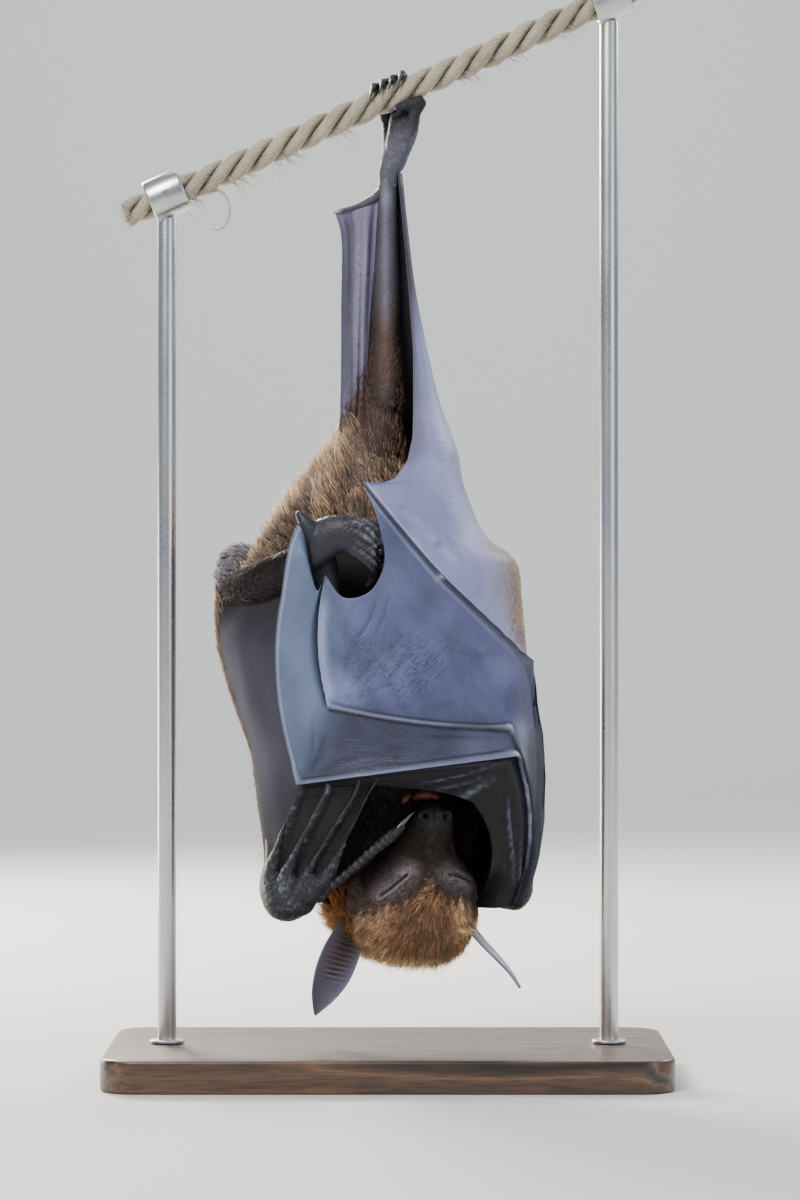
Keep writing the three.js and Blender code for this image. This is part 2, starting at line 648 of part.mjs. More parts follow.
function wingLeftHand() {
  const finger = (n, t) => {
    const [x, z] = bones(LEFT_FAN[n], t);
    return onFront(x, z, lerp(-2, -6, clamp((z - 80) / 42, 0, 1)));
  };
  const fan = sheet((u, t) => {
    const n = Math.min(Math.floor(u), LEFT_FAN.length - 2);
    const [a, b] = [finger(n, t), finger(n + 1, t)];
    const f = webShare(u - n, a.distanceTo(b));
    const p = a.lerp(b, f);
    p.y += 2.2 * Math.sin(Math.PI * f) * Math.min(1, 2 * t);
    return p;
  }, webColumns(LEFT_FAN.length - 1), spread(2, 6), webThickness);
  const wrist = limb([
    [-48, -20, 82, 8, 7], [-40, -26, 76, 7.5, 7], [-33, -29, 77, 5, 5],
  ], { sides: 8, steps: 3 });
  return fan.add(wrist);
}

// The left wing's arm skin: from the fan round the side, and back to the flank.
const LEFT_FRONT = [[-62, 207], [-57, 185], [-53, 160], [-46, 132], [-48, 105], [-50, 82]];
const LEFT_SIDE = [[-88, 207], [-92, 185], [-96, 150], [-96, 130], [-95, 105], [-92, 80]];
const LEFT_FLANK = [[-150, 225], [-156, 190], [-156, 160], [-154, 140], [-150, 120], [-146, 106]];

const wingLeftArm = () => armSkin(LEFT_FRONT, LEFT_SIDE, LEFT_FLANK, 3.2, 8);

const thumbLeft = () => limb([
  [-27, -38, 80, 3.2, 3.2], [-12, -45, 95, 2.4, 2.4], [4, -47.5, 109, 2.3, 2.3], [8, -47, 112.5, 1.5, 1.5],
  [10.5, -45, 116, 0.7, 0.7],
], { side: at(0, 1, 0), sides: 6, steps: 8, caps: 1 });
const thumbRight = () => limb([
  [43, -22, 84, 2.6, 2.6], [40, -27, 100, 2, 2], [34, -29, 112, 0.8, 0.8],
], { side: at(0, 1, 0), sides: 6, steps: 5, caps: 1 });

// ---------------------------------------------------------------- finishes

const finish = (color, roughness, metalness = 0) =>
  new THREE.MeshStandardMaterial({ color, roughness, metalness });
const FINISH = {
  base: finish(0x4a3628, 0.45),
  steel: finish(0xb8babd, 0.3, 1),
  rope: finish(0xa89c86, 0.9),
  membrane: finish(0x4b4a58, 0.5),
  hand: finish(0x3a3942, 0.55),
  fur: finish(0x5d3f2c, 0.9),
  crown: finish(0x8a5226, 0.9),
  bare: finish(0x2e2a2e, 0.5),
};

// ---------------------------------------------------------------- putting it together

// Where two pieces would meet, the later one in this list gives way to the earlier one.
const PIECES = [
  ['stand_base', base, FINISH.base],
  ['stand_rod_left', () => rod(-1), FINISH.steel],
  ['stand_rod_right', () => rod(1), FINISH.steel],
  ['stand_collar_left', () => collar(-1), FINISH.steel],
  ['stand_collar_right', () => collar(1), FINISH.steel],
  ['perch_rope', rope, FINISH.rope],
  ['foot_right', footRight, FINISH.bare],
  ['wing_right_hand', wingRightHand, FINISH.membrane],
  ['wing_left_hand', wingLeftHand, FINISH.hand],
  ['thumb_left', thumbLeft, FINISH.bare],
  ['thumb_right', thumbRight, FINISH.bare],
  ['foot_left', footLeft, FINISH.bare],
  ['shank_left', shankLeft, FINISH.fur],
  ['shank_right', shankRight, FINISH.fur],
  ['head', head, FINISH.crown],
  ['ear_left', earLeft, FINISH.bare],
  ['ear_right', earRight, FINISH.bare],
  ['thigh_left', thighLeft, FINISH.fur],
  ['thigh_right', thighRight, FINISH.fur],
  ['trunk', trunk, FINISH.fur],
  ['wing_right_arm', wingRightArm, FINISH.membrane],
  ['wing_left_arm', wingLeftArm, FINISH.membrane],
  ['forearm_right', forearmRight, FINISH.bare],
  ['forearm_left', forearmLeft, FINISH.bare],
  ['neck', neck, FINISH.crown],
  ['upper_arm_left', upperArmLeft, FINISH.fur],
  ['upper_arm_right', upperArmRight, FINISH.fur],
  ['tail_membrane', tailMembrane, FINISH.membrane],
];

function touching(a, b) {
  const [one, other] = [a.boundingBox(), b.boundingBox()];
  return [0, 1, 2].every((k) => one.min[k] < other.max[k] + GAP && other.min[k] < one.max[k] + GAP);
}

function meshOf(name, body, material) {
  const geometry = geometryOf(body);
  geometry.computeVertexNormals();
  const mesh = new THREE.Mesh(geometry, material);
  mesh.name = name;
  return mesh;
}

const bat = new THREE.Group();
const placed = [];
for (const [name, make, material] of PIECES) {
  let body = make();
  for (const other of placed) {
    if (touching(body, other)) body = clearOf(body, other);
  }
  placed.push(body);
  bat.add(meshOf(name, body, material));
}

export default bat;
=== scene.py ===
# A flying fox asleep, hanging head down from a rope by its right foot with both wings folded
# round the body, as a life-size museum model on a plain stand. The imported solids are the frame:
# every size here is in millimetres in their coordinates and becomes metres in the meshes.

import math
from types import SimpleNamespace

import bmesh
import bpy
import numpy as np
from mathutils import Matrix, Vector, kdtree, noise


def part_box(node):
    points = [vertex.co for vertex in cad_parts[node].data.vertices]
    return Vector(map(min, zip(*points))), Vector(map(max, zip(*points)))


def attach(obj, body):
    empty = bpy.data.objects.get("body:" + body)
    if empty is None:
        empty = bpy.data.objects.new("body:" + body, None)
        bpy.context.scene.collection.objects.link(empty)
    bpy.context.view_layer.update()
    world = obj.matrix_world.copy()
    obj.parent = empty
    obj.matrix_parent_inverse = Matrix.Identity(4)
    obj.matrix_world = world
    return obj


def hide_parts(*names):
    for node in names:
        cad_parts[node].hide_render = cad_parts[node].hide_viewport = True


MM = 0.001
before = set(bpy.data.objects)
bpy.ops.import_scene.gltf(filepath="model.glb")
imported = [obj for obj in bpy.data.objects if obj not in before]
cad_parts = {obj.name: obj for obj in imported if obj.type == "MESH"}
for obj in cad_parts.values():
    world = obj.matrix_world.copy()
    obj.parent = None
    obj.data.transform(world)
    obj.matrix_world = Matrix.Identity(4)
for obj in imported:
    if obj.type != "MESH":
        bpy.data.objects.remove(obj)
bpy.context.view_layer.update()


# ------------------------------------------------------------------ plinth of the stand
# A flat walnut board, cut with round corners, its edges eased and waxed to a low shine.
# It is one board, so the grain runs its whole length.

PLINTH_CORNER = 16 * MM
PLINTH_EASE = 1.5 * MM
WALNUT_DARK = (0.022, 0.011, 0.006, 1)
WALNUT_MID = (0.075, 0.036, 0.018, 1)
WALNUT_PALE = (0.150, 0.078, 0.040, 1)
GRAIN_STRETCH = (2.2, 26, 26)
PORE_STRETCH = (60, 1400, 1400)


def take(piece):
    """Puts everything down and takes up one piece alone."""
    if bpy.context.object and bpy.context.object.mode != "OBJECT":
        bpy.ops.object.mode_set(mode="OBJECT")
    bpy.ops.object.select_all(action="DESELECT")
    if piece:
        piece.select_set(True)
        bpy.context.view_layer.objects.active = piece


def settle(piece, name):
    """Applies the piece's place, turn and size, so that its object sits at the origin."""
    take(piece)
    bpy.ops.object.transform_apply(location=True, rotation=True, scale=True)
    piece.name = piece.data.name = name
    return piece


def pick(piece, kind, wanted):
    """Selects the edges or faces of the piece in edit mode that the test wants."""
    bpy.ops.object.mode_set(mode="EDIT")
    bpy.ops.mesh.select_mode(type="EDGE" if kind == "edges" else "FACE")
    bpy.ops.mesh.select_all(action="DESELECT")
    cut = bmesh.from_edit_mesh(piece.data)
    for part in getattr(cut, kind):
        if wanted(part):
            part.select_set(True)
    cut.select_flush_mode()
    bmesh.update_edit_mesh(piece.data)


def smooth_over(piece, degrees):
    take(piece)
    bpy.ops.object.shade_smooth_by_angle(angle=math.radians(degrees))


def new_finish(name):
    """A new material, its node tree and its shader."""
    finish = bpy.data.materials.new(name)
    finish.use_nodes = True
    return finish, finish.node_tree, finish.node_tree.nodes["Principled BSDF"]


def feed(tree, node, inputs):
    """Sets inputs of a node, each to a number, a colour or the socket that feeds it."""
    for key, value in inputs.items():
        if isinstance(value, bpy.types.NodeSocket):
            tree.links.new(value, node.inputs[key])
        else:
            node.inputs[key].default_value = value
    return node


def add(tree, kind, inputs=None, **settings):
    """Adds a shader node."""
    made = tree.nodes.new("ShaderNode" + kind)
    for key, value in settings.items():
        setattr(made, key, value)
    return feed(tree, made, inputs or {})


def ramp(tree, value, *stops):
    """Greys or colours between stops of (position, colour) along a value."""
    made = add(tree, "ValToRGB", {"Fac": value})
    strip = made.color_ramp
    for _ in stops[2:]:
        strip.elements.new(0.5)
    for element, (position, colour) in zip(strip.elements, stops):
        element.position = position
        element.color = colour if isinstance(colour, tuple) else (colour, colour, colour, 1)
    return made.outputs["Color"]


def span(tree, value, low, high, to_low, to_high):
    """The value moved from one range to another."""
    return add(tree, "MapRange", {
        "Value": value, "From Min": low, "From Max": high, "To Min": to_low, "To Max": to_high,
    }).outputs["Result"]


def worked(tree, operation, a, b):
    return add(tree, "Math", {0: a, 1: b}, operation=operation).outputs[0]


def blend(tree, mode, factor, a, b):
    made = add(tree, "Mix", data_type="RGBA", blend_type=mode)
    return feed(tree, made, {0: factor, 6: a, 7: b}).outputs[2]


def place_in(tree):
    return add(tree, "TexCoord").outputs["Object"]


def stretched(tree, scale):
    """Object coordinates stretched by a scale along each axis."""
    return add(tree, "Mapping", {"Vector": place_in(tree), "Scale": scale}).outputs[0]


def cloudy(tree, vector, scale=1.0, detail=2.0, roughness=0.5):
    return add(tree, "TexNoise", {
        "Vector": vector, "Scale": scale, "Detail": detail, "Roughness": roughness}).outputs["Fac"]


def bump(tree, height, strength, distance, under=None):
    """The normal of small dents, laid over another normal where one is given."""
    inputs = {"Height": height, "Strength": strength, "Distance": distance}
    if under is not None:
        inputs["Normal"] = under
    return add(tree, "Bump", inputs).outputs[0]


def walnut():
    finish, tree, shader = new_finish("waxed_walnut")
    along = stretched(tree, GRAIN_STRETCH)
    drift = cloudy(tree, along, 1.6, 3.0)
    bent = add(tree, "CombineXYZ", {
        "Y": span(tree, drift, 0, 1, -0.7, 0.7), "Z": span(tree, drift, 0, 1, -0.4, 0.4)}).outputs[0]
    rings = add(tree, "TexWave", {
        "Vector": add(tree, "VectorMath", {0: along, 1: bent}, operation="ADD").outputs[0],
        "Scale": 0.85, "Distortion": 2.4, "Detail": 3.0, "Detail Scale": 1.4,
    }, wave_type="RINGS", rings_direction="X").outputs["Fac"]
    pores = cloudy(tree, stretched(tree, PORE_STRETCH))
    board = ramp(tree, rings, (0.0, WALNUT_MID), (0.55, WALNUT_PALE), (1.0, WALNUT_DARK))
    feed(tree, shader, {
        "Base Color": blend(tree, "MULTIPLY", 0.75, board, ramp(tree, pores, (0.38, 0.35), (0.55, 1))),
        "Roughness": span(tree, pores, 0.3, 0.7, 0.5, 0.3),
        "Normal": bump(tree, pores, 0.25, 0.0002),
        "Coat Weight": 0.25, "Coat Roughness": 0.22,
    })
    return finish


low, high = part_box("stand_base")
take(None)
bpy.ops.mesh.primitive_cube_add(size=1, location=(low + high) / 2)
plinth = bpy.context.object
plinth.scale = high - low
settle(plinth, "plinth")
pick(plinth, "edges", lambda e: abs((e.verts[0].co - e.verts[1].co).z) > 5 * MM)
bpy.ops.mesh.bevel(offset=PLINTH_CORNER, segments=10, affect="EDGES")
pick(plinth, "edges", lambda e: len({abs(f.normal.z) > 0.5 for f in e.link_faces}) == 2)
bpy.ops.mesh.bevel(offset=PLINTH_EASE, segments=4, affect="EDGES")
smooth_over(plinth, 40)
plinth.data.materials.append(walnut())
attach(plinth, "root")
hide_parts("stand_base")


# ------------------------------------------------------------------ rods and rope collars
# Two brushed steel rods stand in the board, each with a thin washer at its foot. A steel ring
# on the head of each rod holds the rope, locked with one small grub screw at the front.

ROD_EASE = 0.5 * MM
WASHER = {"radius": 7.5 * MM, "thick": 1.4 * MM, "ease": 0.4 * MM}
RING = {"length": 16 * MM, "outer": 9.4 * MM, "wall": 2.5 * MM, "ease": 0.8 * MM}
GRUB = {"radius": 2.1 * MM, "long": 2.5 * MM, "ease": 0.3 * MM, "hex": 1.1 * MM, "deep": 1.2 * MM,
        "proud": 0.7 * MM, "sides": 24}
ROPE = {"radius": 6.0, "slope": math.radians(24), "x": 5.2, "z": 422.6, "reach": 112.0}
STEEL_DARK = (0.50, 0.50, 0.51, 1)
STEEL_PALE = (0.66, 0.66, 0.67, 1)


def brushed_steel(name, brushed):
    finish, tree, shader = new_finish(name)
    lines = cloudy(tree, stretched(tree, brushed), 1.0, 4.0, 0.6)
    smears = cloudy(tree, stretched(tree, (30, 30, 14)))
    feed(tree, shader, {
        "Base Color": ramp(tree, lines, (0.3, STEEL_DARK), (0.7, STEEL_PALE)),
        "Roughness": worked(tree, "ADD", span(tree, lines, 0.3, 0.7, 0.20, 0.32),
                            span(tree, smears, 0.35, 0.7, 0.0, 0.12)),
        "Normal": bump(tree, lines, 0.12, 0.0001),
        "Metallic": 1.0,
    })
    return finish


def eased_cylinder(radius, low_end, high_end, ease, sides=48):
    """An upright cylinder between two heights with both end edges eased."""
    take(None)
    bpy.ops.mesh.primitive_cylinder_add(
        vertices=sides, radius=radius, depth=high_end - low_end, location=(0, 0, (low_end + high_end) / 2))
    piece = settle(bpy.context.object, "turned")
    pick(piece, "edges", lambda e: any(len(f.verts) == sides for f in e.link_faces))
    bpy.ops.mesh.bevel(offset=ease, segments=3, affect="EDGES")
    bpy.ops.object.mode_set(mode="OBJECT")
    return piece


def collar(middle):
    """A ring round the rope: an open pipe with a wall, its edges eased."""
    take(None)
    bpy.ops.mesh.primitive_cylinder_add(
        vertices=64, radius=RING["outer"], depth=RING["length"], end_fill_type="NOTHING")
    ring = bpy.context.object
    wall = ring.modifiers.new("wall", "SOLIDIFY")
    wall.thickness, wall.offset = RING["wall"], -1
    ease = ring.modifiers.new("ease", "BEVEL")
    ease.width, ease.segments, ease.limit_method = RING["ease"], 3, "ANGLE"
    for modifier in ("wall", "ease"):
        bpy.ops.object.modifier_apply(modifier=modifier)
    ring.rotation_euler = (0, math.radians(90) - ROPE["slope"], 0)
    ring.location = middle
    return ring


def grub_screw(middle):
    """A short screw with a recess in its head, standing a little out of the collar's front."""
    screw = eased_cylinder(GRUB["radius"], 0, GRUB["long"], GRUB["ease"], GRUB["sides"])
    pick(screw, "faces", lambda f: f.normal.z > 0.9 and len(f.verts) == GRUB["sides"])
    bpy.ops.mesh.inset(thickness=GRUB["radius"] - GRUB["ease"] - GRUB["hex"])
    bpy.ops.mesh.extrude_region_move(TRANSFORM_OT_translate={"value": (0, 0, -GRUB["deep"])})
    bpy.ops.object.mode_set(mode="OBJECT")
    screw.rotation_euler = (math.radians(90), 0, 0)
    screw.location = middle + Vector((0, -RING["outer"] - GRUB["proud"] + GRUB["long"], 0))
    return screw


rod_steel = brushed_steel("brushed_rod_steel", (900, 900, 9000))
collar_steel = brushed_steel("brushed_collar_steel", (5000, 1200, 5000))
for side in ("left", "right"):
    low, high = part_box("stand_rod_" + side)
    foot = ((low.x + high.x) / 2, (low.y + high.y) / 2, 0)
    rod = eased_cylinder((high.x - low.x) / 2, low.z, high.z, ROD_EASE)
    washer = eased_cylinder(WASHER["radius"], low.z, low.z + WASHER["thick"], WASHER["ease"])
    for piece, name in ((washer, "washer_"), (rod, "rod_")):
        piece.location = foot
        settle(piece, name + side)
    washer.select_set(True)
    bpy.ops.object.join()
    smooth_over(rod, 40)
    rod.data.materials.append(rod_steel)
    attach(rod, "root")
    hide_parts("stand_rod_" + side)

    low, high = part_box("stand_collar_" + side)
    ring = settle(collar((low + high) / 2), "collar_" + side)
    smooth_over(ring, 35)
    ring.data.materials.append(collar_steel)
    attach(ring, "root")
    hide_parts("stand_collar_" + side)

    screw = settle(grub_screw((low + high) / 2), "grub_screw_" + side)
    smooth_over(screw, 35)
    screw.data.materials.append(rod_steel)
    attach(screw, "root")


# ------------------------------------------------------------------ rope
# A short cut length of hemp rope: three strands laid round each other, each of them twisted
# from yarns, with loose fibres standing out all along and both ends cut square and brushed out.

STRANDS = 3
STRAND_STEPS = 260
STRAND_SIDES = 30
LAY = 37.0
STRAND_RADIUS = 2.72
STRAND_PITCH = 3.25
YARNS = 9
YARN_TURNS = 2.6
FIBRE_COUNT = 620
FRAY_PLACES = ((-78.0, 34), (-58.0, 22), (-100.0, 18), (-30.0, 14), (28.0, 16), (48.0, 14), (74.0, 16))
BRUSH_COUNT = 90
LOOSE_YARN = {"x": -73.5, "z": 372.0, "wide": 5.4, "high": 8.4, "radius": 0.85}
HEMP_SHADE = (0.100, 0.080, 0.054)
HEMP_MID = (0.500, 0.430, 0.310)
HEMP_PALE = (0.640, 0.570, 0.440)


def mesh_piece(name, corners, faces, tint=None, uv=None):
    """A mesh object from corners in millimetres and arrays of faces with like numbers of sides."""
    mesh = bpy.data.meshes.new(name)
    loops = np.concatenate([f.ravel() for f in faces]).astype(np.int32)
    sizes = np.concatenate([np.full(len(f), f.shape[1], np.int32) for f in faces])
    mesh.vertices.add(len(corners))
    mesh.vertices.foreach_set("co", (np.asarray(corners) * MM).astype(np.float32).ravel())
    mesh.loops.add(len(loops))
    mesh.loops.foreach_set("vertex_index", loops)
    mesh.polygons.add(len(sizes))
    mesh.polygons.foreach_set("loop_start", (np.cumsum(sizes) - sizes).astype(np.int32))
    mesh.polygons.foreach_set("use_smooth", np.full(len(sizes), True))
    if tint is not None:
        add_colours(mesh, "tint", tint)
    if uv is not None:
        mesh.uv_layers.new(name="OFBake").data.foreach_set("uv", np.asarray(uv, np.float32).ravel())
    mesh.update(calc_edges=True)
    piece = bpy.data.objects.new(name, mesh)
    bpy.context.scene.collection.objects.link(piece)
    return piece


def add_colours(mesh, name, colours):
    colours = np.concatenate([colours, np.ones((len(colours), 1))], 1)
    layer = mesh.color_attributes.new(name, "FLOAT_COLOR", "POINT")
    layer.data.foreach_set("color", colours.astype(np.float32).ravel())


def unit(vectors):
    return vectors / np.maximum(np.linalg.norm(vectors, axis=-1, keepdims=True), 1e-9)


def fade(value, low, high):
    """A smooth step from 0 at low to 1 at high."""
    t = np.clip((value - low) / (high - low), 0, 1)
    return t * t * (3 - 2 * t)


def fall(value, low, high):
    """A smooth step from 1 at low to 0 at high."""
    return 1 - fade(value, low, high)


def even_turn(count):
    return np.arange(count) * 2 * math.pi / count


def around_line(line, wide, across, deep, out, turn):
    """Rings about the points of a line, each with its half width and half depth along two directions."""
    return (line[:, None] + (wide * np.cos(turn))[..., None] * across[:, None]
            + (deep * np.sin(turn))[..., None] * out[:, None])


def grid_faces(rows, cols, closed, first=0):
    """Quads between the rows of a grid of corners; a closed grid joins its last column to its first."""
    i, j = np.meshgrid(np.arange(rows - 1), np.arange(cols if closed else cols - 1), indexing="ij")
    k = (j + 1) % cols
    quads = np.stack([i * cols + j, i * cols + k, (i + 1) * cols + k, (i + 1) * cols + j], -1)
    return quads.reshape(-1, 4) + first


def with_ends(rings):
    """The values of a grid of rings as one list, with the mean of the first ring and of the last."""
    return np.concatenate([rings.reshape(-1, 3), rings[0].mean(0)[None], rings[-1].mean(0)[None]])


def tube(rings):
    """Corners and faces of a closed tube through rings, its ends closed on their middles."""
    rows, cols = rings.shape[:2]
    j = np.arange(cols)
    k = (j + 1) % cols
    start = np.stack([k, j, np.full(cols, rows * cols)], -1)
    end = np.stack([(rows - 1) * cols + j, (rows - 1) * cols + k, np.full(cols, rows * cols + 1)], -1)
    return face_out(with_ends(rings), [grid_faces(rows, cols, True), np.concatenate([start, end])])


def face_out(corners, faces):
    """The faces, turned over if the closed shape they make is inside out."""
    volume = 0.0
    for group in faces:
        for n in range(1, group.shape[1] - 1):
            a, b, c = (corners[group[:, m]] for m in (0, n, n + 1))
            volume += np.einsum("ij,ij->i", a, np.cross(b, c)).sum()
    return corners, [group[:, ::-1] for group in faces] if volume < 0 else faces


def gathered(parts):
    """Several closed shapes as one list of corners and faces."""
    corners, groups, first = [], {3: [], 4: []}, 0
    for points, faces in parts:
        corners.append(points)
        for group in faces:
            groups[group.shape[1]].append(group + first)
        first += len(points)
    return np.concatenate(corners), [np.concatenate(g) for g in groups.values() if g]


def fibre(points, radius):
    """A thin three-sided fibre along its points."""
    ahead = unit(np.gradient(points, axis=0))
    across = unit(np.cross(ahead, np.array([0.31, 0.87, 0.38])))
    radius = np.broadcast_to(radius, len(points))[:, None]
    return tube(around_line(points, radius, across, radius, np.cross(across, ahead), even_turn(3)))


rope_axis = np.array([math.cos(ROPE["slope"]), 0, math.sin(ROPE["slope"])])
rope_up = np.array([-rope_axis[2], 0, rope_axis[0]])
rope_side = np.array([0.0, 1.0, 0.0])
rope_grip = np.array([ROPE["x"], 0, ROPE["z"]])
rope_from = (-ROPE["reach"] - ROPE["x"]) / rope_axis[0]
rope_to = (ROPE["reach"] - ROPE["x"]) / rope_axis[0]


def beside_rope(along, angle, distance):
    """A place by its distance along the rope from the grip, its angle and its distance out."""
    along, angle, distance = np.broadcast_arrays(along, angle, distance)
    return (rope_grip + along[..., None] * rope_axis
            + (distance * np.cos(angle))[..., None] * rope_up
            + (distance * np.sin(angle))[..., None] * rope_side)


def rope_strands(dice):
    parts, lit = [], []
    along = np.linspace(rope_from, rope_to, STRAND_STEPS)
    turn = np.linspace(0, 2 * math.pi, STRAND_SIDES, endpoint=False)
    for k in range(STRANDS):
        lay = 2 * math.pi * (along / LAY + k / STRANDS)
        wander = 0.16 * np.sin(along / 9.1 + 2.0 * k) + 0.14 * np.sin(along / 3.7 + 4.0 * k)
        middle = beside_rope(along, lay, STRAND_PITCH + wander)
        ahead = unit(np.gradient(middle, axis=0))
        across = unit(np.cross(ahead, unit(middle - beside_rope(along, lay, 0.0))))
        ridge = np.abs(np.cos(YARNS * (turn[None] - YARN_TURNS * lay[:, None]) / 2))
        size = STRAND_RADIUS * (0.95 + 0.085 * ridge + 0.03 * np.sin(along / 3.3 + k)[:, None])
        parts.append(tube(around_line(middle, size, np.cross(across, ahead), size, across, turn)))
        # The strands are painted in shade on their inner sides, where they turn in against each other, and
        # lighter on the ridges of their yarns outside.
        outside = fade(np.cos(turn)[None], -0.6, 0.75)
        lit.append(np.append((ridge * 0.6 + 0.4) * outside, [0.5, 0.5]))
    corners, faces = gathered(parts)
    lit = np.concatenate(lit)
    share = np.clip(lit + dice.normal(0, 0.05, len(lit)), 0, 1)[:, None]
    return corners, faces, np.array(HEMP_SHADE) * (1 - share) + np.array(HEMP_MID) * share


def rope_fibres(dice):
    """Loose fibres: short hairs all along, longer frays in a few places, a brush at each end."""
    parts = []

    def hair(along, angle, lean, length, radius, curl, lift):
        s = np.linspace(0, 1, 6)
        start = beside_rope(along, angle, 5.1)
        out = beside_rope(along, angle, 6.1) - start
        aim = unit(lean * rope_axis + lift * out + curl * np.cross(rope_axis, out))
        bend = dice.normal(0, 0.45, 3) + np.array([0, 0, -0.35])
        points = start + length * (s[:, None] * aim + 0.5 * (s ** 2)[:, None] * bend)
        parts.append(fibre(points, radius * (1 - 0.75 * s)))

    for _ in range(FIBRE_COUNT):
        hair(dice.uniform(rope_from, rope_to), dice.uniform(0, 2 * math.pi), dice.choice([-1, 1]),
             dice.uniform(2, 6.5), dice.uniform(0.05, 0.10), dice.normal(0, 0.5), dice.uniform(0.15, 0.7))
    for place, count in FRAY_PLACES:
        for _ in range(count):
            hair(place + dice.normal(0, 3.0), math.pi + dice.normal(0, 0.5), dice.uniform(0.2, 1.0),
                 dice.uniform(3, 11), dice.uniform(0.12, 0.26), dice.normal(0, 0.7), dice.uniform(0.3, 0.9))
    # One yarn has come loose and hangs in a curl.
    s = np.linspace(0, 1, 26)
    turned = np.radians(125 - 250 * s)
    parts.append(fibre(np.stack([
        LOOSE_YARN["x"] + LOOSE_YARN["wide"] * np.cos(turned), -1.5 - 2.0 * s,
        LOOSE_YARN["z"] + LOOSE_YARN["high"] * np.sin(turned)], -1), LOOSE_YARN["radius"] - 0.35 * s))
    for end, way in ((rope_from, -1), (rope_to, 1)):
        for _ in range(BRUSH_COUNT):
            distance = 5.4 * math.sqrt(dice.uniform())
            start = beside_rope(end - way * 1.5, dice.uniform(0, 2 * math.pi), distance)
            s = np.linspace(0, 1, 5)
            aim = unit(way * rope_axis + dice.normal(0, 0.28, 3))
            points = start + dice.uniform(2.5, 5.0) * (
                s[:, None] * aim + 0.3 * (s ** 2)[:, None] * dice.normal(0, 0.5, 3))
            parts.append(fibre(points, dice.uniform(0.12, 0.26) * (1 - 0.5 * s)))
    corners, faces = gathered(parts)
    return corners, faces, np.array(HEMP_PALE) * dice.uniform(0.65, 1.0, (len(corners), 1))


def hemp():
    finish, tree, shader = new_finish("hemp")
    tint = add(tree, "VertexColor", layer_name="tint").outputs["Color"]
    fine = cloudy(tree, place_in(tree), 1900.0)
    stain = cloudy(tree, place_in(tree), 60.0, 3.0)
    colour = blend(tree, "MULTIPLY", 1.0, tint, ramp(tree, fine, (0.3, 0.72), (0.7, 1.25)))
    feed(tree, shader, {
        "Base Color": blend(tree, "MULTIPLY", 0.6, colour, ramp(tree, stain, (0.35, 0.7), (0.65, 1.1))),
        "Normal": bump(tree, fine, 0.6, 0.0003),
        "Roughness": 0.85, "Sheen Weight": 0.25,
    })
    return finish


rope_dice = np.random.default_rng(3)
hemp_finish = hemp()
rope = mesh_piece("rope_strands", *rope_strands(rope_dice))
fibres = mesh_piece("rope_fibres", *rope_fibres(rope_dice))
for piece in (rope, fibres):
    piece.data.materials.append(hemp_finish)
    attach(piece, "root")
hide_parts("perch_rope")


# ------------------------------------------------------------------ folded wings
# The wings are thin, supple skin stretched between long finger bones. Folded, they follow one
# sleeve round the body: the right hand lies over everything in front, its little finger a
# beaded cord up to the tip, and its arm skin runs round the side and up the leg to the ankle.

# The sleeve: height, middle, half width, depth in front of the middle, depth behind it.
SLEEVE = np.array([
    [388, 2, 4.6, 4, 5], [350, 2.4, 8.3, 6, 8], [333, 3.0, 10.2, 7, 9], [290, 6, 16.8, 16, 17],
    [269, 5, 25.5, 28, 26], [256, 0.4, 32.4, 37, 29], [243, -3.4, 40.6, 42, 31], [231, -5.6, 49.4, 45, 33],
    [222, -8, 63, 47, 34], [204, -8.4, 66.4, 50, 35], [183, -6.4, 66.6, 51, 35], [161, -2, 65, 52, 35],
    [140, 3, 63, 53, 35], [118, 4.6, 61.7, 50, 31], [97, 5.5, 59.5, 46, 27], [75, 3, 56, 38, 20],
    [60, 2, 50, 32, 16],
], float)
# The fingers of the right wing from the front as (x, z): wrist, knuckle, joint and tip, with the
# middle of each bone between them.
LITTLE_FINGER = ((58, 75), (66.6, 122), (60.2, 178.8), (41.3, 196.9), (22.4, 214.9), (5.5, 234.5),
                 (-10.8, 254.5))
RING_FINGER = ((55.5, 73.5), (62.0, 112), (51.6, 150.9), (13.5, 153.6), (-24.5, 160.3), (-28.8, 187),
               (-26.2, 214.9))
LONG_FINGER = ((53, 74), (60.0, 106), (54.2, 138.8), (8.2, 133.5), (-37.8, 126.8), (-47.5, 185),
               (-34, 236.9))
INDEX_FINGER = ((38.6, 72.8), (46.5, 98), (37.5, 119.5), (8, 126), (-37.5, 125.2))
# The free edges between their tips, and the radius and height of each finger's cord along it.
SCALLOP = ((-10.8, 254.5), (-3.9, 237), (-1.3, 220), (-7.7, 208), (-18.5, 205.7), (-26.2, 214.9))
STRIP_EDGE = ((-26.2, 214.9), (-29.5, 208.5), (-33, 222), (-34, 236.9))
FINGER_CORDS = (
    (((0, 1, 2, 3), (1.8, 1.3, 1.1, 0.7)), ((0, 1, 3), (1.4, 1.8, 1.0))),
    (((0, 1, 2, 3), (1.5, 1.0, 1.1, 0.8)), ((0, 1, 1.9, 2.1, 3), (1.8, 1.1, 1.2, 1.7, 1.0))),
    (((0, 1, 1.9, 2.1, 3), (1.6, 2.2, 2.3, 0.9, 0.5)), ((0, 1, 1.9, 2.1, 3), (1.5, 2.0, 2.0, 0.5, 0.3))),
)
SKIN_THICK = 0.6
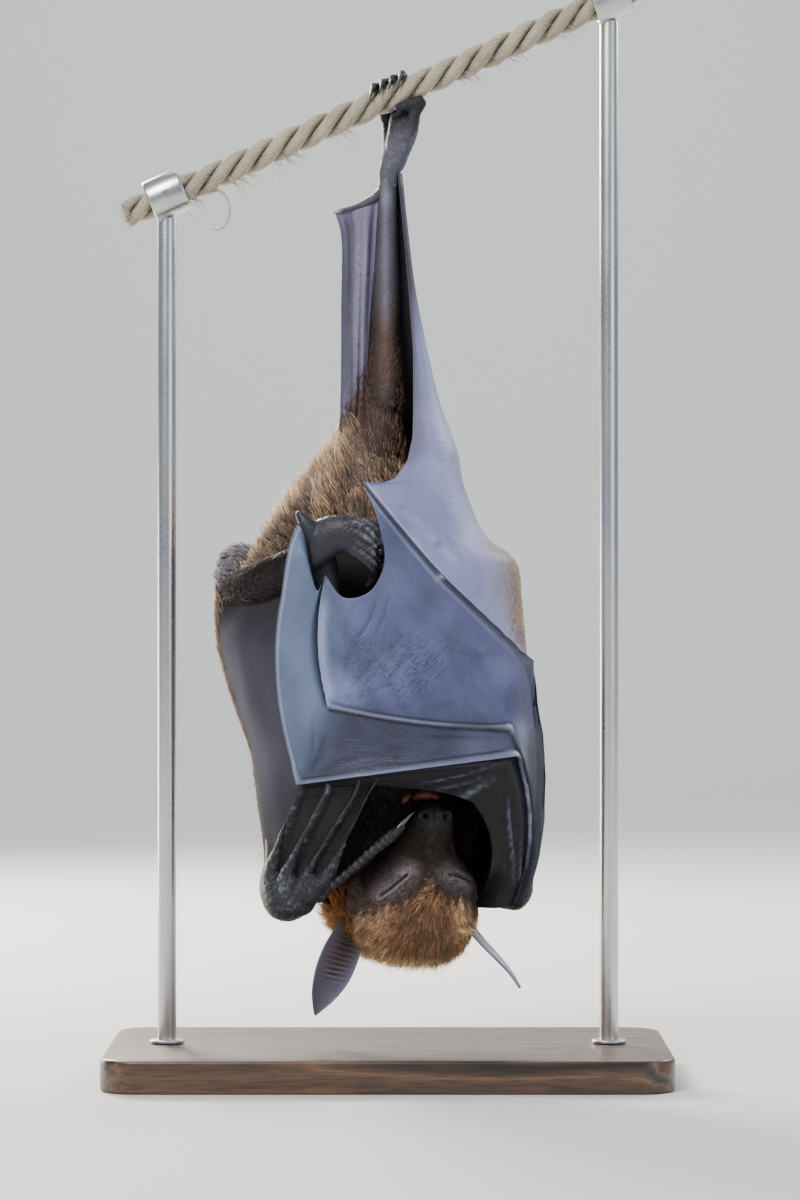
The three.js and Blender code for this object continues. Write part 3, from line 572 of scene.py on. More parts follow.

# Colours of the bare skin, from the lightest parts of the wings to the darkest. Among them are painted
# light and shade: highlights on knuckles, ridges and crests, glints on beads, a glow on the panel, and
# shade in grooves and deep inside the folded wings.
# A highlight painted on the knuckles.
KNUCKLE_HIGHLIGHT = (0.50, 0.50, 0.60)
# Glints painted on the beads along the palm bones.
BEAD_GLINT = (0.42, 0.44, 0.58)
# A highlight painted along the crest of the little finger's cord.
CREST_HIGHLIGHT = (0.40, 0.43, 0.62)
# A glow painted on the panel and along its free edge.
PAINTED_GLOW = (0.330, 0.370, 0.620)
ARM_SKIN = (0.268, 0.282, 0.490)
# A highlight painted on the ridges of the finger cords.
RIDGE_HIGHLIGHT = (0.200, 0.215, 0.330)
STRIP_SKIN = (0.104, 0.138, 0.228)
PANEL_SKIN = (0.082, 0.090, 0.192)
PALM_SKIN = (0.050, 0.054, 0.074)
BAND_SKIN = (0.043, 0.046, 0.080)
LEFT_SKIN = (0.044, 0.041, 0.064)
LINING_SKIN = (0.030, 0.027, 0.036)
CORD_SKIN = (0.026, 0.027, 0.042)
WRIST_SKIN = (0.018, 0.019, 0.026)
HAND_SKIN = (0.010, 0.009, 0.011)
# The near-black of the palm, also painted as shade in grooves, folds and pleats.
DARK_PALM_AND_GROOVE_SHADE = (0.009, 0.009, 0.015)
# Painted shade: the near-black deep inside the folded wings and on the inner faces of sheets.
INNER_SHADE = (0.009, 0.009, 0.010)
SHADE_SKIN = (0.003, 0.003, 0.005)


def sleeve_at(z):
    """Middle, half width, front depth and back depth of the sleeve, smooth between its rows."""
    z = np.asarray(z, float)
    i = np.clip(np.searchsorted(-SLEEVE[:, 0], -z, side="right") - 1, 0, len(SLEEVE) - 2)
    a, b = SLEEVE[i], SLEEVE[i + 1]
    before, after = SLEEVE[np.maximum(i - 1, 0)], SLEEVE[np.minimum(i + 2, len(SLEEVE) - 1)]
    long = b[..., :1] - a[..., :1]
    t = np.clip((z[..., None] - a[..., :1]) / long, 0, 1)
    slope_a = (b - before) / (b[..., :1] - before[..., :1]) * long
    slope_b = (after - a) / (after[..., :1] - a[..., :1]) * long
    t2, t3 = t * t, t * t * t
    found = ((2 * t3 - 3 * t2 + 1) * a + (t3 - 2 * t2 + t) * slope_a
             + (3 * t2 - 2 * t3) * b + (t3 - t2) * slope_b)
    return found[..., 1], found[..., 2], found[..., 3], found[..., 4]


def stacked(*values):
    """Fields and plain numbers side by side, as places, colours or reliefs."""
    return np.stack(np.broadcast_arrays(*values), -1)


def around(degrees, z, off=0.0):
    """A place on the sleeve by its angle from the front, positive to the bat's right."""
    middle, wide, front, back = sleeve_at(z)
    angle = np.radians(degrees)
    depth = np.where(np.abs(degrees) < 90, front, back) + off
    return stacked(middle + (wide + off) * np.sin(angle), -depth * np.cos(angle), z)


def angle_of(x, z):
    middle, wide, _, _ = sleeve_at(z)
    return np.degrees(np.arcsin(np.clip((x - middle) / wide, -0.999, 0.999)))


def bones(points, t):
    """Arcs from joint to joint through each bone's middle, at t from 0 to the number of bones."""
    points, t = np.array(points, float), np.asarray(t, float)
    i = np.minimum(np.floor(t).astype(int), (len(points) - 3) // 2)
    f = (t - i)[..., None]
    a, m, b = points[2 * i], points[2 * i + 1], points[2 * i + 2]
    return (1 - f) ** 2 * a + 2 * f * (1 - f) * (2 * m - (a + b) / 2) + f * f * b


def bone_steps(*counts):
    """Values of t along the bones of a finger, with so many steps on each."""
    steps = [n + np.linspace(0, 1, count + 1)[1:] for n, count in enumerate(counts)]
    return np.concatenate([[0.0], *steps])


def stretch_of(points, t):
    """For t from 0 to 1 along a row of points, the point before it and the share of the way on."""
    s = np.clip(t, 0, 1) * (len(points) - 1)
    i = np.minimum(np.floor(s).astype(int), len(points) - 2)
    return i, (s - i)[..., None]


def smooth_path(points, t):
    """A smooth curve through points at t from 0 to 1; columns past the third ride along."""
    points = np.asarray(points, float)
    ends = np.concatenate([2 * points[:1] - points[1:2], points, 2 * points[-1:] - points[-2:-1]])
    i, f = stretch_of(points, t)
    p0, p1, p2, p3 = (ends[i + n] for n in range(4))
    g0, g1, g2 = (np.maximum(np.linalg.norm((b - a)[..., :3], axis=-1, keepdims=True), 1e-6) ** 0.5
                  for a, b in ((p0, p1), (p1, p2), (p2, p3)))
    m1 = ((p1 - p0) / g0 - (p2 - p0) / (g0 + g1) + (p2 - p1) / g1) * g1
    m2 = ((p2 - p1) / g1 - (p3 - p1) / (g1 + g2) + (p3 - p2) / g2) * g1
    return p1 + m1 * f + (-3 * p1 + 3 * p2 - 2 * m1 - m2) * f ** 2 + (2 * p1 - 2 * p2 + m1 + m2) * f ** 3


def straight_path(points, t):
    points = np.array(points, float)
    i, f = stretch_of(points, t)
    return points[i] * (1 - f) + points[i + 1] * f


def line_distance(x, z, line):
    """Distance from places (x, z) to a line of points, and how far along it the nearest one is."""
    line = np.array(line, float)
    best, share = np.full(np.shape(x), 1e9), np.zeros(np.shape(x))
    for n, (a, b) in enumerate(zip(line[:-1], line[1:])):
        d = b - a
        t = np.clip(((x - a[0]) * d[0] + (z - a[1]) * d[1]) / (d @ d), 0, 1)
        away = np.hypot(x - a[0] - t * d[0], z - a[1] - t * d[1])
        nearer = away < best
        best, share = np.where(nearer, away, best), np.where(nearer, (n + t) / (len(line) - 1), share)
    return best, share


def mound(away, width):
    return np.exp(-(away / width) ** 2)


def spot_at(x, z, middle, wide, high):
    """A soft round spot, 1 at its middle."""
    return mound(np.hypot((x - middle[0]) / wide, (z - middle[1]) / high), 1.0)


def rough(x, y, z, size, seed=0.0):
    """Smooth random heights from -1 to 1 with bumps about that size across."""
    flat = stacked(x, y, z).reshape(-1, 3) / size + seed
    return np.array([noise.noise(Vector(p)) for p in flat]).reshape(np.shape(x + y + z))


def mix(a, b, share):
    share = np.asarray(share)[..., None]
    return np.asarray(a) * (1 - share) + np.asarray(b) * share


def painted(tint, *layers):
    """A colour with others laid over it in turn, each with the share that it covers."""
    for colour, share in layers:
        tint = mix(tint, colour, share)
    return tint


def crease(x, z, line, wide, blunt, power=1.0):
    """How much of a crease is at places (x, z): it fades to the sides of its line and to its ends."""
    away, share = line_distance(x, z, line)
    return away, mound(away, wide) * np.sin(math.pi * np.clip(share, blunt, 1 - blunt)) ** power


flesh = []


def add_flesh(corners, faces, tint, relief):
    """Takes a closed shape into the one skin with its colour and its relief at each corner:
    fine crinkles, pebbles and gloss, each from 0 to 1 (gloss below 0 is matt)."""
    tint, relief = (np.broadcast_to(np.asarray(value, float).reshape(-1, 3), (len(corners), 3))
                    for value in (tint, relief))
    flesh.append((np.asarray(corners), faces, tint, relief))


# By default a sheet's inner face is painted in the inner shade.
def add_sheet(outer, inner, tint, relief, inner_tint=INNER_SHADE):
    """Takes a thin sheet into the skin from the grids of its outer and inner faces."""
    rows, cols = outer.shape[:2]
    index = np.arange(rows * cols).reshape(rows, cols)
    rim = np.concatenate([index[0, :-1], index[:-1, -1], index[-1, :0:-1], index[:0:-1, 0]])
    after = np.roll(rim, -1)
    faces = [grid_faces(rows, cols, False), grid_faces(rows, cols, False, rows * cols)[:, ::-1],
             np.stack([after, rim, rim + rows * cols, after + rows * cols], -1)]
    corners = np.concatenate([outer.reshape(-1, 3), inner.reshape(-1, 3)])
    corners, faces = face_out(corners, [np.concatenate(faces)])
    tint, inner_tint, relief = (np.broadcast_to(value, outer.shape).reshape(-1, 3)
                                for value in (tint, inner_tint, relief))
    add_flesh(corners, faces, np.concatenate([tint, inner_tint]), np.concatenate([relief, relief]))


# Columns beside a finger, in millimetres from its line; between two fingers they are even.
BESIDE = np.array([0, 0.5, 1.0, 1.5, 2.0, 2.7, 3.6])


def beside_shares(width):
    """For each row of a web, the shares of its width at which the columns beside a finger lie."""
    width = np.maximum(width, 0.5)[:, None]
    return BESIDE[None] * np.minimum(1, 0.42 * width / BESIDE[-1]) / width


def web_shares(width, between):
    near = beside_shares(width)
    even = np.linspace(0, 1, between + 2)[None, 1:-1]
    return np.concatenate([near, near[:, -1:] + even * (1 - 2 * near[:, -1:]), 1 - near[:, ::-1]], 1)


def narrowing(width):
    """How much thinner a cord is where its web is narrow."""
    return np.clip(width / 6.5, 0.35, 1)


def cord(away, radius, height, groove=0.3):
    """The height of a bone's cord under the skin at a distance from its line, with the groove beside it."""
    dome = np.sqrt(np.clip(1 - (away / np.maximum(radius, 0.01)) ** 2, 0, None))
    return height * dome ** 1.3 - groove * mound(away - radius - 0.35, 0.5)


def finger_style(n, t):
    """Radius and height of the cord of a right finger (0 little, 1 ring, 2 long) at t."""
    knuckle = sum(mound(t - k, 0.045) for k in (1.0, 2.0))
    beads = 1 + 0.10 * np.sin(t * 71 + n) * fade(t, 0.2, 1.0) + 0.08 * np.sin(t * 37 + 2 * n)
    radius, height = (np.interp(t, *table) for table in FINGER_CORDS[n])
    height = height * (1 - 0.85 * fade(t, 2.8, 3.0))
    return radius * (1 + 0.35 * knuckle), height * beads * (1 + 0.45 * knuckle)


# Small folds of the right hand's skin as lines of (x, z), with how wide and how deep each is.
HAND_FOLDS = (
    (((-22, 163), (-12, 172), (0, 186)), 0.5, -0.35), (((-23, 162), (-8, 166), (8, 172)), 0.6, -0.35),
    (((-21, 165), (-17, 178), (-15, 190)), 0.6, -0.25), (((-4, 206), (-8, 196), (-15, 184)), 0.9, -0.45),
    (((1, 207), (-2, 197), (-6, 188)), 0.8, -0.35), (((-14, 204), (-17, 196), (-18, 186)), 0.7, -0.3),
    (((-3, 168), (4, 176), (9, 183)), 0.8, -0.45), (((14, 158), (22, 160), (30, 163)), 0.9, -0.35),
    (((12, 172), (18, 176), (22, 184)), 0.8, -0.35), (((48, 182), (40, 181), (32, 184)), 1.1, -0.4),
    (((57, 176), (51, 166), (49, 156)), 2.2, 0.9), (((52, 149), (40, 151), (20, 151.8)), 1.0, -0.5),
    (((-36, 129), (-30, 139), (-27, 150)), 1.1, -0.7), (((-37, 128), (-33, 142), (-32, 156)), 0.9, -0.4),
    (((-34, 130), (-20, 137), (0, 141)), 1.2, -0.4), (((50, 140), (36, 143), (14, 143)), 1.3, 0.45),
    (((48, 146), (30, 147), (6, 146.5)), 0.9, -0.35),
)


def panel_paint(w):
    """The broad panel between the little and the ring finger: clouded blue, paler at its left, with
    highlights and a glow painted on its ridges, knuckles and edges and shade painted in the groove beside
    the ring finger.
    """
    x, z, t = w.x, w.z, w.t
    tint = painted(
        PANEL_SKIN,
        (mix(PANEL_SKIN, STRIP_SKIN, 0.5), fade(z, 150, 235) * 0.6),
        (BAND_SKIN, 0.55 * fall(z, 152, 168) * fade(x, -30, 10) * fade(t, 1, 1.2)),
        (STRIP_SKIN, 0.5 * fade(-x, 12, 24) * fade(z, 165, 180)),
        (BAND_SKIN, 0.30 * fade(z, 198, 224)),
        (ARM_SKIN, 0.22 * fade(x, 32, 50) * fade(t, 1, 1.2)))
    cloud = rough(x, z, 0, 15, 4.2) + 0.7 * rough(x * 0.8 + z * 0.6, (z * 0.8 - x * 0.6) * 0.3, 0, 5, 2.9)
    return painted(
        tint * (1 + 0.34 * cloud)[..., None],
        # a glow painted low on the left
        (PAINTED_GLOW, 0.35 * spot_at(x, z, (-19, 168), 9, 8)),
        (PALM_SKIN, w.palm),
        # a highlight painted down the palm's outer ridge, beaded
        ((0.26, 0.29, 0.40), 0.9 * mound(x - 58.8, 3.6) * fade(z, 96, 116) * fall(z, 148, 158)
         * (0.45 + 0.55 * w.beads)),
        (CORD_SKIN, 0.92 * mound(w.away_a - 0.3, 1.1) * fade(t, 0.85, 1.05)),
        # a highlight painted beside the little finger's cord, and on its second knuckle
        (RIDGE_HIGHLIGHT, 0.80 * mound(w.away_a - 2.3, 0.6) * fade(t, 0.95, 1.2)),
        ((0.36, 0.38, 0.48), 0.7 * mound(t - 2, 0.022) * mound(w.away_a, 2.2)),
        # highlights painted on the ring finger's cord and along the free edge, shade in the groove beside
        # that cord, and a highlight on its knuckle
        (RIDGE_HIGHLIGHT, (0.35 + 0.45 * fade(t, 0.8, 1.3)) * w.near_b * fade(t, 0.1, 0.8)),
        (PAINTED_GLOW, 0.85 * mound(w.away_b - 0.8, 2.6) * w.upright * fade(-z, -212, -196)),
        (DARK_PALM_AND_GROOVE_SHADE, 0.8 * mound(w.away_b - w.cord_b - 0.3, 0.5) * (1 - w.upright)),
        (KNUCKLE_HIGHLIGHT, 0.7 * mound(t - 1, 0.02) * w.near_b))


def band_paint(w):
    """The darker band between the ring and the long finger, and the pale strip it turns up into, with
    highlights and glints painted on its ridges, beads and knuckles and shade painted in its grooves.
    """
    x, z, t = w.x, w.z, w.t
    tint = mix(BAND_SKIN, STRIP_SKIN, fade(t, 1.85, 2.15))
    tint = tint * (1 + 0.22 * rough(x, z * 0.4, 0, 11, 6.2))[..., None]
    return painted(
        tint,
        (ARM_SKIN, 0.20 * fade(x, 22, 42) * (1 - w.palm)),
        (DARK_PALM_AND_GROOVE_SHADE, 0.7 * w.palm),
        # shade painted in the groove where the strip passes under the panel
        (DARK_PALM_AND_GROOVE_SHADE, 0.94 * mound(w.away_a - 1.7, 1.3) * w.upright),
        # highlights painted on the cords' ridges, shade in the grooves beside them and glints on the palm's
        # beads
        (RIDGE_HIGHLIGHT, (0.35 + 0.45 * fade(t, 0.8, 1.3)) * w.near_a * fade(t, 0.1, 0.8)
         * (1 - 0.5 * w.upright)),
        (DARK_PALM_AND_GROOVE_SHADE, 0.8 * mound(w.away_a - w.cord_a - 0.3, 0.5) * (1 - w.upright)),
        (RIDGE_HIGHLIGHT, 0.75 * mound(w.away_b, w.cord_b * 1.05) * fade(t, 0.98, 1.04) * fall(t, 1.93, 2.02)),
        (BEAD_GLINT, (0.35 + 0.65 * w.beads) * mound(w.away_b, 0.9) * fade(t, 0.2, 0.5) * w.palm),
        (DARK_PALM_AND_GROOVE_SHADE, 0.8 * mound(w.away_b - w.cord_b - 0.5, 0.6) * (1 - w.upright)),
        # the strip's dark edge with a highlight painted just inside it, and highlights on the knuckles
        (CORD_SKIN, 0.75 * mound(w.away_b, 0.5) * w.upright),
        ((0.32, 0.35, 0.46), 0.75 * mound(w.away_b - 1.1, 0.45) * w.upright),
        (KNUCKLE_HIGHLIGHT, 0.7 * mound(t - 1, 0.02) * np.maximum(w.near_a, w.near_b)))


def hand_web(n, between, rows, free_edge, paint):
    """Takes in the web between right finger n and the next one, out to the edge between their tips."""
    fingers = (LITTLE_FINGER, RING_FINGER, LONG_FINGER)
    t = bone_steps(*rows)
    a, b = bones(fingers[n], t), bones(fingers[n + 1], t)
    width = np.hypot(*(b - a).T)
    f = web_shares(width, between)
    share = f[..., None]
    past_joint = np.maximum(0, t - 2)[:, None, None]
    web = a[:, None] + share * (b - a)[:, None] + past_joint * (
        smooth_path(free_edge, f) - (a[-1] + share * (b[-1] - a[-1])))
    w = SimpleNamespace(x=web[..., 0], z=web[..., 1], t=np.broadcast_to(t[:, None], f.shape))
    w.away_a, w.away_b = f * width[:, None], (1 - f) * width[:, None]
    (radius_a, height_a), (radius_b, height_b) = finger_style(n, w.t), finger_style(n + 1, w.t)
    w.cord_a, w.cord_b = (radius * narrowing(width)[:, None] for radius in (radius_a, radius_b))
    w.near_a, w.near_b = mound(w.away_a, w.cord_a * 0.9), mound(w.away_b, w.cord_b * 0.9)
    w.palm, w.upright = fall(w.t, 0.7, 1.05), fade(w.t, 1.95, 2.08)
    w.beads = np.clip(0.5 + 1.3 * rough(w.x, w.z, 0, 1.3, 2.6), 0, 1)

    # Between its cords the skin sags, crinkles away from them and dips in its folds.
    sag = np.where(w.t < 1, 3.2 * np.sin(math.pi * np.clip(w.t, 0, 1)), 0)
    beside = np.minimum(w.away_a, w.away_b)
    if n == 0:
        busy = spot_at(w.x, w.z, (8, 177), 30, 17)
    else:
        sag = sag + 1.6 * fade(w.t, 1.0, 1.25) * fall(w.t, 1.9, 2.2)
        busy = fade(w.t, 1.1, 1.3) * fall(w.t, 1.8, 2.1)
    off = (-0.4 - (sag + 0.6) * np.sin(math.pi * f)
           + cord(w.away_a, w.cord_a, height_a) + cord(w.away_b, w.cord_b, height_b))
    fold = sum(deep * crease(w.x, w.z, line, wide, 0.04, 0.7)[1] for line, wide, deep in HAND_FOLDS)
    crinkle = rough(w.x, w.z, 0, 5.5, 3.1) + 0.6 * rough(w.x, w.z, 0, 2.6, 7.7)
    off = off + fold + fade(beside, 2.5, 7) * crinkle * (0.12 + 0.32 * busy) + 6 * n * fade(w.z, 204, 232)
    if n == 1:
        # Long fine wrinkles run the length of the band, and the strip dips beside the ring finger.
        off = off + 0.30 * fade(beside, 1.5, 3.5) * busy * rough(w.x * 0.12 + w.z * 0.02, w.z, 0, 1.7, 9.1)
        off = off - 2.0 * mound(w.away_a - 1.9, 1.5) * fade(w.t, 1.95, 2.1)
    angle = angle_of(w.x, w.z)
    pebbles = 0.7 * fall(w.t, 0.2, 1.0) + 0.25 * np.maximum(w.near_a, w.near_b)
    relief = stacked(0.25 + (0.75, 0.36)[n] * busy, pebbles, 0.6)
    inside = np.minimum(off, 0.2) - SKIN_THICK - 0.9 * (off > 0.2)
    # Where its folds dip they are painted in shade.
    add_sheet(around(angle, w.z, off), around(angle, w.z, inside),
              mix(paint(w), DARK_PALM_AND_GROOVE_SHADE, np.clip(-fold * 0.9, 0, 0.6)), relief)


hand_web(0, 24, (26, 38, 32), SCALLOP, panel_paint)
hand_web(1, 18, (30, 40, 34), STRIP_EDGE, band_paint)

# The last web, between the long finger and the index finger, is tucked in under the hand, where its
# near-black colour is painted shade. Its pleats have a place, width and height; its folds and the palm's
# ridges a line, width, height and the strength of the highlight painted along them.
CURTAIN_PLEATS = ((0.10, 0.04, 0.9), (0.20, 0.035, 0.7), (0.62, 0.06, 0.5), (0.86, 0.05, 0.35))
CURTAIN_FOLDS = (
    (((14, 127.6), (32, 131.0), (47, 135.6)), 0.7, 1.0, 0.55),
    (((18, 124.2), (34, 127.6), (46, 132.2)), 0.7, 1.0, 0.45),
    (((22, 121.6), (31, 120.6), (38, 124.6), (46, 129.4)), 1.5, 1.2, 0.75),
    (((52.2, 122), (52.8, 112), (54.2, 98), (54.6, 84)), 0.8, 1.3, 0.8),
    (((57.4, 102), (57.2, 92), (56.6, 80)), 0.6, 0.9, 0.6),
)


def curtain():
    t = bone_steps(33, 43)[:, None]
    u = np.linspace(0, 1, 36)[None]
    a, b = bones(LONG_FINGER, t), bones(INDEX_FINGER, t)
    x, z = np.moveaxis(a + u[..., None] * (b - a), -1, 0)
    off = -1 - 3 * u + 0 * t
    for place, wide, high in CURTAIN_PLEATS:
        wave = place + 0.05 * np.sin(2.2 * t + 9 * place)
        off = off + high * mound(u - wave, wide) * fade(t, 0.15, 0.6)
    off = off + 0.8 * mound(u - 1, 0.05)
    pleat = np.clip((off + 1 + 3 * u) / 1.2, 0, 1)
    # Painted lighter on the crests of its pleats.
    tint = painted(CORD_SKIN, (INNER_SHADE, fade(u + 0 * t, 0.0, 0.15)),
                   (BAND_SKIN, 0.45 * pleat * fall(u, 0.3, 0.6)))
    beads = np.clip(0.55 + 1.4 * rough(x, z, 0, 1.4, 6.1), 0.1, 1)
    for line, wide, high, pale in CURTAIN_FOLDS:
        away, here = crease(x, z, line, wide, 0.06, 0.6)
        off = off + high * here
        # A highlight painted along each fold and a painted shadow beside it.
        tint = painted(tint, ((0.19, 0.20, 0.28), pale * here * beads),
                       (SHADE_SKIN, 0.8 * mound(away - 1.7 * wide, 0.5 * wide)))
    angle = angle_of(x, z)
    outer, inner = around(angle, z, off), around(angle, z, off - SKIN_THICK)
    for face in (outer, inner):
        face[..., 1] += 17 * fall(z, 72, 92) * fade(u, 0.25, 1.0)
    # The whole web is darkened as painted shade.
    add_sheet(outer, inner, 0.70 * tint, (0.45, 0.2, 0.35))


curtain()

# The right arm's skin, from the little finger round the forearm to the flank: its front line down
# the leg as (x, z), then lines round the side and the flank as (angle, z).
LEG_FRONT = ((4.4, 388), (8.2, 350), (11, 311), (10.9, 286), (10.6, 274), (8.3, 263.5), (3.3, 256),
             (-3, 253.4), (-10.8, 254.5))
RIGHT_SIDE = (
    (95, 388), (95, 350), (97, 310), (98, 288), (99, 277), (99, 268), (100, 261), (100, 256), (100, 250),
    (100, 238), (101, 222), (103, 205), (105, 185), (108, 122), (95, 76),
)
RIGHT_FLANK = (
    (190, 388), (205, 350), (205, 312), (199, 290), (190, 279), (183, 271), (177, 264), (172, 257),
    (167, 249), (160, 240), (156, 225), (155, 208), (156, 185), (154, 140), (146, 108),
)
# Folds in it as (x, z) lines in front: the long faint one beside the little finger, and two at the leg.
ARM_FOLDS = (
    (((0, 246), (13, 240), (23, 230), (33, 219), (41, 209)), 1.1, -0.75),
    (((2, 249), (14, 243), (25, 232), (36, 219)), 1.4, 0.35),
    (((11, 330), (13, 305), (17, 282)), 1.5, -0.35),
    (((6, 262), (16, 262), (25, 256)), 2.5, 0.5),
)
ARM_CREASE = ((4, 244.5), (13.8, 236.4), (19.4, 229.5), (25.4, 225.7), (33, 218))


def arm_skin(front, side, flank, share, sink, cols, folds, paint, lean=0, beside=None):
    """Takes in an arm's skin from its front line round the side line to the flank: the front line as
    places, the others as tables read at each row's share, and the radius and height of a cord in front.
    Across, s runs from 0 at the front line to 1 at the side and 2 at the flank."""
    b, c = straight_path(side, share), straight_path(flank, share)
    start = np.stack([angle_of(front[:, 0], front[:, 1]), front[:, 1]], -1)
    width = np.maximum(np.radians(np.abs(b[:, 0] - start[:, 0])) * sleeve_at(front[:, 1])[1], 0.5)
    near = beside_shares(width)
    even = np.linspace(0, 1, cols // 2)[None, 1:]
    s = np.concatenate([near, near[:, -1:] + even * (1 - near[:, -1:]), 1 + even + 0 * near[:, :1]], 1)
    f = np.where(s < 1, s, s - 1)
    first, second = (np.where((s < 1)[..., None], p[:, None], q[:, None]) for p, q in ((start, b), (b, c)))
    angle, z = np.moveaxis(first + f[..., None] * (second - first), -1, 0)
    deep = np.where(s < 1, sink * (1 - s) + 2 * f * (1 - f), 2 * f)
    off = -0.4 - deep - lean * fade(z, 184, 210) * fall(s, 0.7, 1.1)
    away_front = np.where(s < 1, s * width[:, None], 1e3)
    if beside is not None:
        radius, high = beside
        off = off + cord(away_front, (radius * narrowing(width))[:, None], high[:, None])
    x = around(angle, z)[..., 0]
    for line, wide, depth in folds:
        off = off + (np.abs(angle) < 85) * depth * crease(x, z, line, wide, 0.05)[1]
    off = off + 0.12 * rough(x, z, angle * 0.5, 9, 1.3) + 0.45 * mound(s, 0.03) * fade(z, 256, 264)
    tint, relief = paint(SimpleNamespace(x=x, z=z, angle=angle, s=s, away=away_front))
    outer = around(angle, z, off)
    add_sheet(outer, around(angle, z, off - SKIN_THICK), tint, relief, LINING_SKIN)
    return outer


def right_arm_paint(at):
    """Pale blue, brown up the leg and downy over the elbow, with a dark cord in front and a highlight
    painted along its crest, and a crease painted as a highlight beside a line of shade.
    """
    x, z, angle, s, away = at.x, at.z, at.angle, at.s, at.away
    away_crease, share = line_distance(x, z, ARM_CREASE)
    creased = (angle < 80) * fade(share, 0, 0.1) * fall(share, 0.8, 1)
    on_finger = (z < 253) * (s < 1)
    tint = painted(
        ARM_SKIN,
        (PANEL_SKIN, 0.35 * fall(angle, 0, 50) * fall(z, 255, 285)),
        ((0.034, 0.029, 0.036), 0.93 * fade(z, 312, 344)),
        # the crease beside the little finger: a highlight painted beside a painted line of shade
        ((0.42, 0.44, 0.60), 0.55 * creased * mound(away_crease - 0.7, 0.45)),
        (PANEL_SKIN, 0.6 * creased * mound(away_crease, 0.4)),
        ((0.130, 0.112, 0.135), 0.75 * fall(s, 0.02, 0.30) * fade(z, 256, 272)),
        (PANEL_SKIN, np.clip(0.30 * rough(angle * 0.35, z * 0.10, 0, 2.2, 5.2), 0, 0.4) * (z > 205)),
        (CORD_SKIN, 0.85 * mound(away, 0.8) * on_finger),
        # a highlight painted along the cord's crest
        (CREST_HIGHLIGHT, 0.8 * mound(away - 1.6, 0.5) * on_finger * fade(z, 150, 185)),
        (LEFT_SKIN, 0.7 * fade(angle, 95, 125)),
        (BAND_SKIN, 0.6 * fall(z, 150, 176)))
    tint = tint * (1 + 0.6 * fall(angle, 60, 90) * fall(z, 180, 206))[..., None]
    downy = fade(angle, 42, 75) * fall(angle, 88, 108) * fade(z, 180, 198) * fall(z, 224, 240)
    gloss = (0.5 - 0.3 * downy) * (1 - 0.95 * fade(z, 296, 336))
    return mix(tint, (0.27, 0.215, 0.20), 0.85 * downy), stacked(0.25, 0.1, gloss)


# The first rows of the tables are beside the leg, the rest beside the little finger.
legs, ends = len(LEG_FRONT) - 1, len(RIGHT_SIDE) - 1
arm_rows = np.concatenate([np.linspace(0, legs, 46), np.linspace(legs, ends, 54)[1:]])
finger_t = 3 - np.maximum(arm_rows - legs, 0) / 2
arm_front = np.where((arm_rows < legs)[:, None], straight_path(LEG_FRONT, arm_rows / legs),
                     bones(LITTLE_FINGER, finger_t))
radius, high = finger_style(0, finger_t)
right_arm_grid = arm_skin(arm_front, RIGHT_SIDE, RIGHT_FLANK, arm_rows / ends, 0, 38, ARM_FOLDS,
                          right_arm_paint, beside=(radius, high * fade(arm_rows, legs, legs + 0.7)))

# The left hand is a closed fan under the right wing: dark skin crowded with the palm bones.
LEFT_FAN = (
    ((-51.5, 82), (-46, 106), (-38, 128), (-36, 158), (-36, 190)),
    ((-46, 80), (-38, 102), (-27, 124), (-24, 158), (-24, 186)),
    ((-39, 79), (-31, 96), (-15, 122), (-6, 152), (-4, 178)),
    ((-30, 81), (-20, 100), (-8, 124), (6, 148), (14, 168)),
)
FAN_CORD = 1.7


def left_fan():
    t = bone_steps(39, 11)
    lines = [bones(finger, t) for finger in LEFT_FAN]
    webs = []
    for n, (a, b) in enumerate(zip(lines, lines[1:])):
        width = np.hypot(*(b - a).T)[:, None]
        f = web_shares(width[:, 0], 2)[:, n > 0:]
        web = a[:, None] + f[..., None] * (b - a)[:, None]
        webs.append((web[..., 0], web[..., 1], np.minimum(f, 1 - f) * width, f))
    x, z, away, share = (np.concatenate(part, 1) for part in zip(*webs))
    tt = np.broadcast_to(t[:, None], x.shape)
    bead = 1 + 0.25 * rough(x * 0.4, z, 0, 2.6, 4.4)
    off = (-1.2 - 2.2 * fade(z, 80, 122) - 2.4 * fade(z, 126, 150)
           - 2.2 * np.sin(math.pi * share) * np.minimum(1, 2 * tt)
           + cord(away, FAN_CORD, 1.6) * bead * (1 - 0.4 * fade(tt, 1, 2))
           + 0.9 * mound(np.sin(3 * math.pi * share), 0.35) * mound(share - 0.5, 0.25) * fade(tt, 0.2, 0.5))
    angle = angle_of(x, z)
    lit = cord(away, FAN_CORD, 1.0, 0)
    glints = np.clip(rough(x, z * 0.8, 0, 1.2, 8.8) * 2.6 - 0.55, 0, 1) * np.clip(lit * 1.3 - 0.3, 0, 1)
    # The cords are painted lighter, with glints on their beads, and the grooves between them near-black as
    # painted shade; the skin is mixed with the inner shade, as it lies under the right wing.
    tint = painted(
        mix(HAND_SKIN, INNER_SHADE, 0.7),
        ((0.034, 0.032, 0.042), np.clip(lit, 0, 1)),
        ((0.24, 0.225, 0.27), 0.8 * glints),
        ((0.002, 0.002, 0.003), 0.85 * mound(away - 2.2, 0.6) * fade(tt, 0.1, 0.3)))
    add_sheet(around(angle, z, off), around(angle, z, off - SKIN_THICK - 0.8), tint,
              stacked(0.5, 0.9 - 0.3 * fade(tt, 0.7, 1.2), 0.45 + 0.4 * lit))


left_fan()

